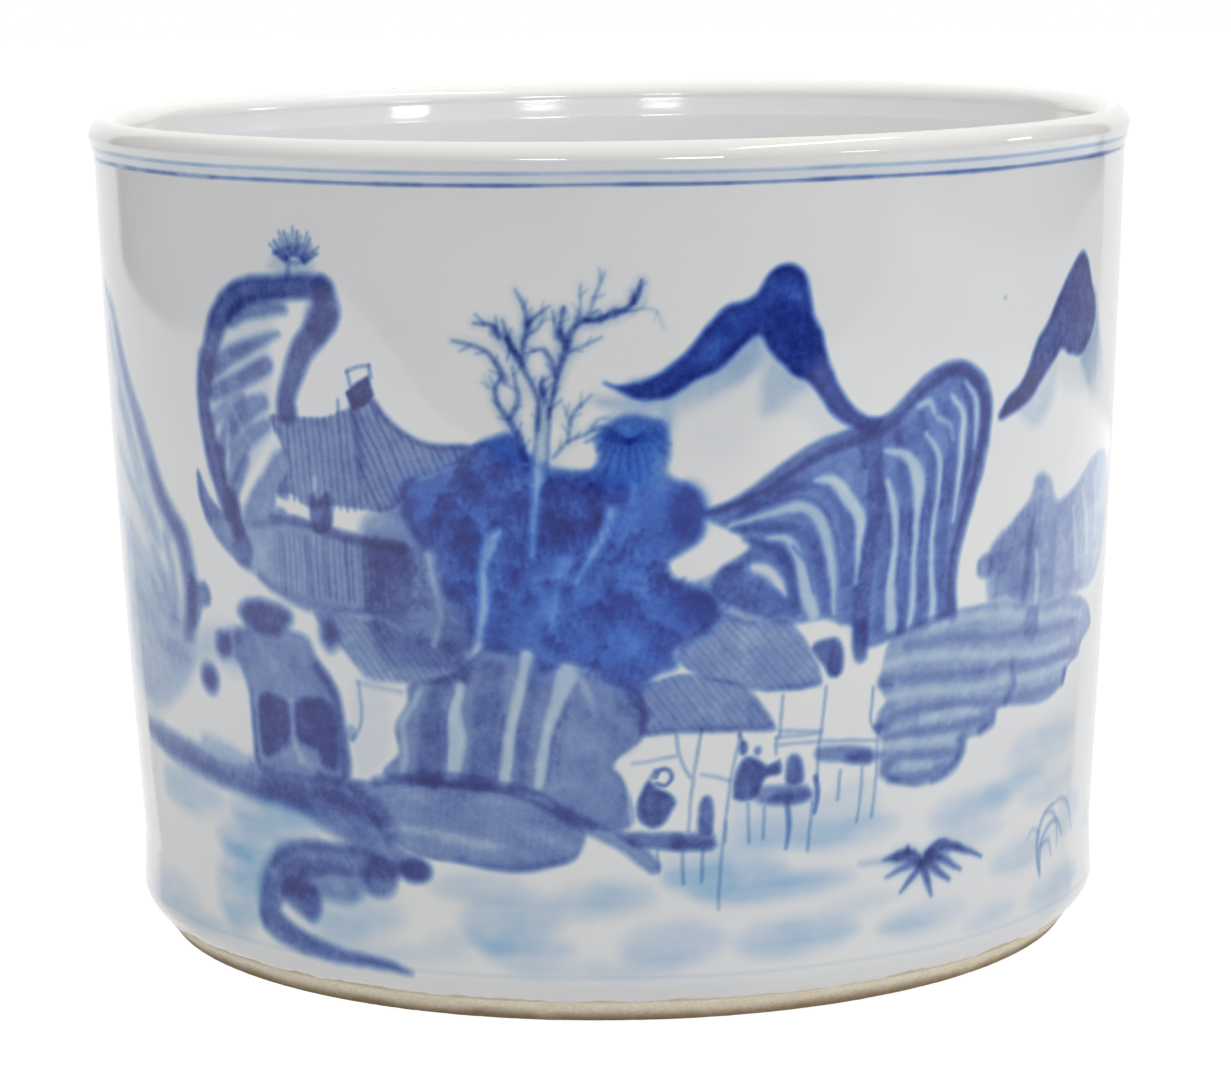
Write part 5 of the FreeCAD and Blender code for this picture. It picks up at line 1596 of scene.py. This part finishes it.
class BrushPotGlaze(bpy.types.PropertyGroup):
    glaze_colour: FloatVectorProperty(name="Glaze", description="White glaze over the clay",
                                      default=(0.78, 0.785, 0.775), size=3, min=0.0, max=1.0, subtype="COLOR")
    lip_colour: FloatVectorProperty(name="Lip", description="Creamy colour where the glaze runs thin",
                                    default=(0.80, 0.765, 0.69), size=3, min=0.0, max=1.0, subtype="COLOR")
    gloss_roughness: FloatProperty(name="Gloss roughness", description="0 is a perfect mirror", default=0.045,
                                   min=0.0, max=1.0, subtype="FACTOR")
    well_roughness: FloatProperty(name="Well roughness",
                                  description="The same inside the well, where the glaze is duller",
                                  default=0.085, min=0.0, max=1.0, subtype="FACTOR")
    shine: FloatProperty(name="Shine", description="Strength of reflections seen straight on", default=0.42,
                         min=0.0, max=1.0, subtype="FACTOR")
    pinholes: FloatProperty(name="Pinholes", description="How marked the pinholes are", default=1.0,
                            min=0.0, max=4.0)
    ripple_height: FloatProperty(name="Ripple height", description="Depth of the glaze's ripple",
                                 default=0.10 * MM, unit="LENGTH", precision=5)
    lip_fall: FloatProperty(name="Lip fall", description="How far the lip sank on one side in the kiln",
                            default=0.9 * MM, unit="LENGTH", precision=5)
    lip_fall_towards: FloatProperty(name="Lip falls towards",
                                    description="Direction of the sunk side, from the front",
                                    default=math.radians(-145), subtype="ANGLE")
    throwing_marks: FloatProperty(name="Throwing marks",
                                  description="Depth of the soft rings left by turning",
                                  default=0.05 * MM, unit="LENGTH", precision=5)
    point_spacing: FloatProperty(name="Wall point spacing",
                                 description="Space between the painted wall's points",
                                 default=0.34 * MM, min=0.2 * MM, unit="LENGTH", precision=5)


class BrushPotFoot(bpy.types.PropertyGroup):
    clay_colour: FloatVectorProperty(name="Clay", description="Bare fired clay",
                                     default=(0.97, 0.885, 0.735), size=3, min=0.0, max=1.0, subtype="COLOR")
    sandy_colour: FloatVectorProperty(name="Sandy patches", description="Warmer patches in the clay",
                                      default=(0.90, 0.785, 0.59), size=3, min=0.0, max=1.0, subtype="COLOR")
    # Toasted colour of the lower edge, darkened further as painted shade where it meets the floor.
    toasted_and_shaded_colour: FloatVectorProperty(name="Toasted and shaded edge",
                                        description="Darkened edge that the pot stands on",
                                        default=(0.36, 0.25, 0.12), size=3, min=0.0, max=1.0, subtype="COLOR")
    flash_colour: FloatVectorProperty(name="Flash line", description="Line where the glaze stops",
                                      default=(0.52, 0.41, 0.27), size=3, min=0.0, max=1.0, subtype="COLOR")
    grit: FloatProperty(name="Grit relief", description="Height of the grit on the foot", default=0.09 * MM,
                        unit="LENGTH", precision=5)
    glaze_wander: FloatProperty(name="Glaze edge wander", description="How unevenly the glaze was wiped off",
                                default=0.30 * MM, unit="LENGTH", precision=5)


class BrushPotStudio(bpy.types.PropertyGroup):
    distance: FloatProperty(name="Camera distance", description="Level distance from the pot's axis",
                            default=0.8020, unit="LENGTH", precision=4)
    height: FloatProperty(name="Camera height", description="Height above the floor", default=0.2091,
                          unit="LENGTH", precision=4)
    tilt: FloatProperty(name="Camera tilt", description="How far the camera looks down", default=0.1677,
                        subtype="ANGLE")
    roll: FloatProperty(name="Camera roll", description="How far the camera leans", default=-0.0119,
                        subtype="ANGLE")
    lens: FloatProperty(name="Lens", description="Focal length", default=118.67, min=1.0, unit="CAMERA")
    floor_colour: FloatVectorProperty(name="Floor", description="Pale studio floor",
                                      default=(0.92, 0.92, 0.92), size=3, min=0.0, max=1.0, subtype="COLOR")
    key_power: FloatProperty(name="Key light", description="Power of the soft box on the right",
                             default=11.0, min=0.0, unit="POWER")
    fill_power: FloatProperty(name="Fill light", description="Power of the soft box on the left",
                              default=3.8, min=0.0, unit="POWER")
    top_power: FloatProperty(name="Top light", description="Power of the soft box overhead",
                             default=10.6, min=0.0, unit="POWER")
    ambient: FloatProperty(name="Room light", description="Even light from all round", default=0.34, min=0.0)
    floor_glow: FloatProperty(name="Floor glow", description="Lifts the floor to white for the camera",
                              default=1.22, min=0.0)
    table_light: FloatProperty(name="Table light",
                               description="Brightness of the table that the glaze mirrors",
                               default=0.95, min=0.0)
    table_right: FloatProperty(name="Table light, right", description="The same on the table's right side",
                               default=1.4, min=0.0)
    table_left: FloatProperty(name="Table light, left",
                              description="The same on the table's bright left side", default=1.7, min=0.0)
    left_wall: FloatProperty(name="Left wall",
                             description="Brightness of the wall that the pot's left side mirrors",
                             default=1.1, min=0.0)
    right_wall: FloatProperty(name="Right wall",
                              description="Brightness of the wall that its right side mirrors",
                              default=1.0, min=0.0)
    white_roof: FloatProperty(name="White roof", description="Brightness of the roof that its lip mirrors",
                              default=1.1, min=0.0)
    dark_room: FloatProperty(name="Dark room", description="Brightness of the room that its front mirrors",
                             default=0.10, min=0.0)


# ---------------------------------------------------------------- operators

class BRUSHPOT_OT_clay_body(bpy.types.Operator):
    """Turn the clay body in one piece, bare and gritty at its foot"""
    bl_idname = "brushpot.clay_body"
    bl_label = "Clay Body"

    def execute(self, context):
        foot = context.scene.brush_pot_foot
        glaze = context.scene.brush_pot_glaze
        angles = even_angles(CLAY_POINTS_ROUND)
        rng = np.random.default_rng(5)

        def gritty(radius, height, angle):
            bare = smoothstep(SHOULDER_HEIGHT + 0.2, SHOULDER_HEIGHT - 0.6, height) * (radius > RECESS_RADIUS)
            rough = 0.6 * smooth_noise(*radius.shape, radius.shape[0] // 2, 420, rng)
            rough += 0.4 * smooth_noise(*radius.shape, radius.shape[0], 880, rng)
            sunk = foot.grit / MM * bare * np.maximum(0.55 + 0.45 * rough, 0.0)
            flat = smoothstep(1.2, 0.1, height)
            height = height - lip_fall(angle, height, glaze.lip_fall / MM, glaze.lip_fall_towards)
            return radius - sunk * (1 - flat), height + sunk * flat

        mesh, _, _ = turned_mesh("clay_body", clay_section(), angles, gritty, flip=True, cap="both")
        add_piece("clay_body", mesh, "porcelain_body", bare_clay_material(foot))
        return {"FINISHED"}


class BRUSHPOT_OT_painted_wall(bpy.types.Operator):
    """Brush the landscape in cobalt and lay the glaze of the outside wall over it"""
    bl_idname = "brushpot.painted_wall"
    bl_label = "Painted Wall"

    def execute(self, context):
        paint = context.scene.brush_pot_paint
        glaze = context.scene.brush_pot_glaze
        wander = context.scene.brush_pot_foot.glaze_wander / MM
        spacing = glaze.point_spacing / MM
        angles = wall_angles(spacing, spacing * 1.5, BUSY_REACH)
        rng = np.random.default_rng(6)

        def thrown(radius, height, angle):
            rings = smooth_noise(*radius.shape, 14, 6, rng)
            dents = smooth_noise(*radius.shape, 6, 26, rng)
            edge = smooth_noise(1, radius.shape[1], 1, 150, rng)[0]
            edge = edge + 0.5 * smooth_noise(1, radius.shape[1], 1, 420, rng)[0]
            above_foot = smoothstep(SHOULDER_HEIGHT + 2, SHOULDER_HEIGHT + 12, height)
            upright = above_foot * smoothstep(HEIGHT - 1, HEIGHT - 6, height)
            sunk = glaze.throwing_marks / MM * upright * (1 + 0.6 * rings + 0.4 * dents)
            ragged = wander * edge * smoothstep(SHOULDER_HEIGHT + 1.6, SHOULDER_HEIGHT, height)
            fall = lip_fall(angle, height, glaze.lip_fall / MM, glaze.lip_fall_towards)
            return radius - sunk, height + ragged - fall

        section = wall_section(spacing)
        mesh, _, _ = turned_mesh("painted_wall", section, angles, thrown)
        field = paint_landscape(paint.cell / MM, paint.tremor / MM)
        around = np.repeat(angles[None, :], len(section), axis=0)
        up = np.repeat(section[:, 1:2], len(angles), axis=1)
        for layer in ("cobalt", "water", "vivid"):
            store(mesh, layer, read_field(field, getattr(field, layer), around, up))
        add_piece("painted_wall", mesh, "outer_glaze", painted_glaze_material(paint, glaze))
        return {"FINISHED"}


class BRUSHPOT_OT_well(bpy.types.Operator):
    """Glaze the well that the brushes stand in"""
    bl_idname = "brushpot.well"
    bl_label = "Well"

    def execute(self, context):
        glaze = context.scene.brush_pot_glaze
        rng = np.random.default_rng(7)

        def thrown(radius, height, angle):
            rings = smooth_noise(*radius.shape, 16, 5, rng) + 0.5 * smooth_noise(*radius.shape, 40, 4, rng)
            inner = smoothstep(HEIGHT - 1, HEIGHT - 8, height)
            fall = lip_fall(angle, height, glaze.lip_fall / MM, glaze.lip_fall_towards)
            sunk = 2.2 * glaze.throwing_marks / MM * inner * (rings - 1)
            return radius + np.maximum(sunk, -0.3) * (radius > 20), height - fall

        tucked = np.array([[CREST[0] + 0.35, CREST[1] - 0.12]])
        section = np.vstack([tucked, well_section(1.5)])
        mesh, _, _ = turned_mesh("well_glaze", section, even_angles(WELL_POINTS_ROUND), thrown, cap=True)
        # The well's glaze is made lighter than the wall's as painted light for its shaded inside.
        material = plain_glaze_material("Well glaze with painted light", glaze, WELL_PAINTED_LIGHT, 0.02, 0.45, 0.9,
                                        glaze.well_roughness)
        add_piece("well_glaze", mesh, "inner_glaze", material)
        return {"FINISHED"}


class BRUSHPOT_OT_base(bpy.types.Operator):
    """Glaze the sunken disc under the foot"""
    bl_idname = "brushpot.base"
    bl_label = "Base"

    def execute(self, context):
        glaze = context.scene.brush_pot_glaze
        mesh, _, _ = turned_mesh("recess_glaze", base_section(), even_angles(BASE_POINTS_ROUND), flip=True,
                                 cap=True)
        material = plain_glaze_material("Base glaze", glaze, BASE_TINT, 0.06, 0.0, 0.6, glaze.gloss_roughness)
        add_piece("recess_glaze", mesh, "base_glaze", material)
        return {"FINISHED"}


# The room and the table as the glaze mirrors them. Places are in metres. An edge is the range over which the
# brightness changes, as the share of a direction that points away from the camera, or up for the roof. The
# sides of the pot mirror the walls from points MIRROR_SIDE beside its axis and MIRROR_FORWARD in front of it.
LEFT_WALL_EDGE = (0.73, 0.79)
RIGHT_WALL_EDGE = (0.765, 0.795)
ROOF_EDGE = (0.35, 0.8)
TABLE_LEFT_EDGE = (0.825, 0.860)
TABLE_SIDES = (-0.85, 1.1)
TABLE_ENDS = (-0.52, 2.0)
MIRROR_SIDE = 0.09
MIRROR_FORWARD = 0.04
NEVER_ZERO = 0.0001

# Lamps that the glaze mirrors: name, place, size and power.
MIRRORED_LAMPS = (
    ("right_window", (0.47, -1.5, 0.60), (0.36, 0.16), 4.0),
    ("left_window", (-0.38, -1.5, 0.63), (0.30, 0.12), 2.6),
    ("side_lamp", (1.14, -0.84, 0.60), (0.26, 0.05), 1.0),
    ("far_side_lamp", (1.5, 0.25, 0.62), (0.22, 0.08), 2.2),
    ("roof_strip", (0.55, -0.10, 1.30), (1.1, 0.10), 4.0),
)


def soft_box(name, place, aim, size, power, mirrored):
    """An area light that either the glaze mirrors or the other surfaces are lit by."""
    data = bpy.data.lights.new(name, "AREA")
    data.shape = "ELLIPSE" if mirrored else "RECTANGLE"
    data.size, data.size_y = size
    data.energy = power
    lamp = bpy.data.objects.new(name, data)
    lamp.location = place
    lamp.rotation_euler = (Vector(aim) - Vector(place)).to_track_quat("-Z", "Y").to_euler()
    lamp.visible_glossy = mirrored
    lamp.visible_camera = False
    lamp.visible_diffuse = not mirrored
    bpy.context.scene.collection.objects.link(lamp)


def studio_world(studio):
    """White behind the pot and dark before it for its reflections, and even soft light for the rest."""
    world = bpy.data.worlds.new("Studio room")
    world.use_nodes = True
    bpy.context.scene.world = world
    tree = world.node_tree
    tree.nodes.clear()
    way = add_node(tree, "ShaderNodeTexCoord").outputs["Generated"]
    parts = add_node(tree, "ShaderNodeSeparateXYZ", {0: way}).outputs
    across = maths(tree, "ADD", maths(tree, "MULTIPLY", parts["X"], parts["X"]),
                   maths(tree, "MULTIPLY", parts["Y"], parts["Y"]))
    behind = maths(tree, "DIVIDE", parts["Y"], maths(tree, "SQRT", maths(tree, "ADD", across, NEVER_ZERO)))
    right = map_range(tree, parts["X"], -0.2, 0.2)
    left_wall = map_range(tree, behind, *LEFT_WALL_EDGE, studio.dark_room, studio.left_wall)
    right_wall = map_range(tree, behind, *RIGHT_WALL_EDGE, studio.dark_room, studio.right_wall)
    walls = add_node(tree, "ShaderNodeMapRange", {0: right, 3: left_wall, 4: right_wall}).outputs[0]
    roof = map_range(tree, parts["Z"], *ROOF_EDGE, 0.0, studio.white_roof)
    mirrored = maths(tree, "MAXIMUM", walls, roof)
    rays = add_node(tree, "ShaderNodeLightPath").outputs
    seen = maths(tree, "MAXIMUM", rays["Is Camera Ray"],
                 maths(tree, "MULTIPLY", rays["Is Glossy Ray"], mirrored))
    spread = maths(tree, "MULTIPLY", rays["Is Diffuse Ray"], studio.ambient)
    glow = add_node(tree, "ShaderNodeBackground", {"Strength": maths(tree, "ADD", seen, spread)})
    glow.inputs["Color"].default_value = (1.0, 1.0, 1.0, 1.0)
    output = tree.nodes.new("ShaderNodeOutputWorld")
    tree.links.new(glow.outputs[0], output.inputs["Surface"])


def studio_floor(studio):
    """A large round floor, just under the foot."""
    mesh = bpy.data.meshes.new("studio_floor")
    shape = bmesh.new()
    bmesh.ops.create_circle(shape, cap_ends=True, segments=96, radius=4.0)
    bmesh.ops.translate(shape, verts=shape.verts, vec=(0.0, 0.0, -0.2 * MM))
    shape.to_mesh(mesh)
    shape.free()
    floor = bpy.data.objects.new("studio_floor", mesh)
    bpy.context.scene.collection.objects.link(floor)
    material, tree, shader, where = new_material("Pale floor", 0.9, 0.1)
    cloud = map_range(tree, noise(tree, where, 6.0, 3.0), 0.3, 0.7, 0.98, 1.0)
    tree.links.new(colour_mix(tree, "MULTIPLY", 1.0, (*studio.floor_colour, 1.0), cloud),
                   shader.inputs["Base Color"])
    mesh.materials.append(material)
    bare = shader.outputs[0]
    glow = add_node(tree, "ShaderNodeEmission", {"Color": (1.0, 1.0, 1.0, 1.0),
                                                 "Strength": studio.floor_glow})
    seen = maths(tree, "MULTIPLY", add_node(tree, "ShaderNodeLightPath").outputs["Is Camera Ray"], 0.8)
    both = add_node(tree, "ShaderNodeMixShader", {0: seen, 1: bare, 2: glow.outputs[0]})
    output = next(node for node in tree.nodes if node.type == "OUTPUT_MATERIAL")
    tree.links.new(both.outputs[0], output.inputs["Surface"])
    floor.visible_glossy = False


def table_card(studio):
    """What the glaze mirrors of the floor: a white table that ends half a metre in front of the pot."""
    mesh = bpy.data.meshes.new("table_card")
    shape = bmesh.new()
    (left, right), (front, rear) = TABLE_SIDES, TABLE_ENDS
    corners = [(left, front), (right, front), (right, rear), (left, rear)]
    shape.faces.new([shape.verts.new((x, y, -0.4 * MM)) for x, y in corners])
    shape.to_mesh(mesh)
    shape.free()
    card = bpy.data.objects.new("table_card", mesh)
    bpy.context.scene.collection.objects.link(card)
    material = bpy.data.materials.new("Table card")
    material.use_nodes = True
    tree = material.node_tree
    tree.nodes.clear()
    where = add_node(tree, "ShaderNodeTexCoord").outputs["Object"]
    place = add_node(tree, "ShaderNodeSeparateXYZ", {0: where}).outputs
    leftward = map_range(tree, place["X"], -0.45, -0.10, studio.table_left, studio.table_light)
    left_half = maths(tree, "MULTIPLY", leftward, map_range(tree, place["Y"], -0.15, 0.15, 1.0, 0.62))
    across = maths(tree, "SUBTRACT", maths(tree, "ABSOLUTE", place["X"]), MIRROR_SIDE)
    back = maths(tree, "ADD", place["Y"], MIRROR_FORWARD)
    squares = maths(tree, "ADD", maths(tree, "MULTIPLY", across, across), maths(tree, "MULTIPLY", back, back))
    far = maths(tree, "SQRT", squares)
    behind = maths(tree, "DIVIDE", back, maths(tree, "ADD", far, NEVER_ZERO))
    right_half = maths(tree, "MULTIPLY", map_range(tree, place["X"], 0.08, 0.35, 0.0, studio.table_right),
                       map_range(tree, far, 0.64, 0.76, 1.0, 0.25))
    right_edge = maths(tree, "MULTIPLY", map_range(tree, behind, *RIGHT_WALL_EDGE, 0.0, studio.right_wall),
                       maths(tree, "GREATER_THAN", place["X"], MIRROR_SIDE))
    left_edge = maths(tree, "MULTIPLY", map_range(tree, behind, *TABLE_LEFT_EDGE, 0.0, studio.left_wall),
                      maths(tree, "LESS_THAN", place["X"], -MIRROR_SIDE))
    edges = maths(tree, "MAXIMUM", right_edge, left_edge)
    bright = maths(tree, "MAXIMUM", maths(tree, "MAXIMUM", left_half, right_half), edges)
    glow = add_node(tree, "ShaderNodeEmission", {"Strength": bright})
    output = tree.nodes.new("ShaderNodeOutputMaterial")
    tree.links.new(glow.outputs[0], output.inputs["Surface"])
    mesh.materials.append(material)
    card.visible_camera = False
    card.visible_diffuse = False
    card.visible_shadow = False


def studio_camera(studio):
    """The camera, straight in front of the pot, looking a little down and leaning a little."""
    data = bpy.data.cameras.new("studio_camera")
    data.sensor_width = 36.0
    data.sensor_fit = "HORIZONTAL"
    data.lens = studio.lens
    data.clip_end = 50.0
    camera = bpy.data.objects.new("studio_camera", data)
    ahead = Vector((0.0004, math.cos(studio.tilt), -math.sin(studio.tilt))).normalized()
    right = ahead.cross(Vector((0.0, 0.0, 1.0))).normalized()
    up = right.cross(ahead)
    leaning_right = math.cos(studio.roll) * right + math.sin(studio.roll) * up
    leaning_up = math.cos(studio.roll) * up - math.sin(studio.roll) * right
    camera.matrix_world = Matrix((
        (leaning_right.x, leaning_up.x, -ahead.x, 0.0),
        (leaning_right.y, leaning_up.y, -ahead.y, -studio.distance),
        (leaning_right.z, leaning_up.z, -ahead.z, studio.height),
        (0.0, 0.0, 0.0, 1.0)))
    bpy.context.scene.collection.objects.link(camera)
    bpy.context.scene.camera = camera


class BRUSHPOT_OT_studio(bpy.types.Operator):
    """Set the floor, the soft light and the camera"""
    bl_idname = "brushpot.studio"
    bl_label = "Studio"

    def execute(self, context):
        studio = context.scene.brush_pot_studio
        context.scene.view_settings.view_transform = "Standard"
        studio_world(studio)
        studio_floor(studio)
        table_card(studio)
        studio_camera(studio)
        aim = (0.0, 0.0, 0.5 * HEIGHT * MM)
        soft_box("key_light", (1.6, -0.8, 1.1), aim, (1.2, 1.2), studio.key_power, False)
        soft_box("fill_light", (-1.6, -0.5, 0.9), aim, (1.2, 1.2), studio.fill_power, False)
        soft_box("back_light", (0.2, 1.2, 1.5), aim, (1.4, 0.8), 0.6 * studio.fill_power, False)
        soft_box("top_light", (0.0, -0.15, 1.4), (0.0, 0.0, 0.1), (1.0, 1.0), studio.top_power, False)
        lip = (0.0, 0.0, HEIGHT * MM)
        for name, place, size, power in MIRRORED_LAMPS:
            soft_box(name, place, lip, size, power, True)
        return {"FINISHED"}


class BRUSHPOT_PT_panel(bpy.types.Panel):
    """Lists the pot's settings and the steps that build it"""
    bl_idname = "BRUSHPOT_PT_panel"
    bl_label = "Brush Pot"
    bl_space_type = "VIEW_3D"
    bl_region_type = "UI"
    bl_category = "Brush Pot"

    def draw(self, context):
        for label, name, operators in STEPS:
            box = self.layout.box()
            box.label(text=label)
            settings = getattr(context.scene, name)
            for key in settings.__annotations__:
                box.prop(settings, key)
            for operator in operators:
                box.operator(operator)


STEPS = (
    ("Painting", "brush_pot_paint", ("brushpot.painted_wall",)),
    ("Glaze", "brush_pot_glaze", ("brushpot.well", "brushpot.base")),
    ("Foot", "brush_pot_foot", ("brushpot.clay_body",)),
    ("Studio", "brush_pot_studio", ("brushpot.studio",)),
)
GROUPS = {
    "brush_pot_paint": BrushPotPaint,
    "brush_pot_glaze": BrushPotGlaze,
    "brush_pot_foot": BrushPotFoot,
    "brush_pot_studio": BrushPotStudio,
}
CLASSES = (*GROUPS.values(), BRUSHPOT_OT_clay_body, BRUSHPOT_OT_painted_wall, BRUSHPOT_OT_well,
           BRUSHPOT_OT_base, BRUSHPOT_OT_studio, BRUSHPOT_PT_panel)


def register():
    for each in CLASSES:
        bpy.utils.register_class(each)
    for name, group in GROUPS.items():
        setattr(bpy.types.Scene, name, PointerProperty(type=group))


def unregister():
    for name in GROUPS:
        delattr(bpy.types.Scene, name)
    for each in reversed(CLASSES):
        bpy.utils.unregister_class(each)


def main():
    register()
    bpy.ops.brushpot.clay_body()
    bpy.ops.brushpot.painted_wall()
    bpy.ops.brushpot.well()
    bpy.ops.brushpot.base()
    bpy.ops.brushpot.studio()


if __name__ == "__main__":
    main()
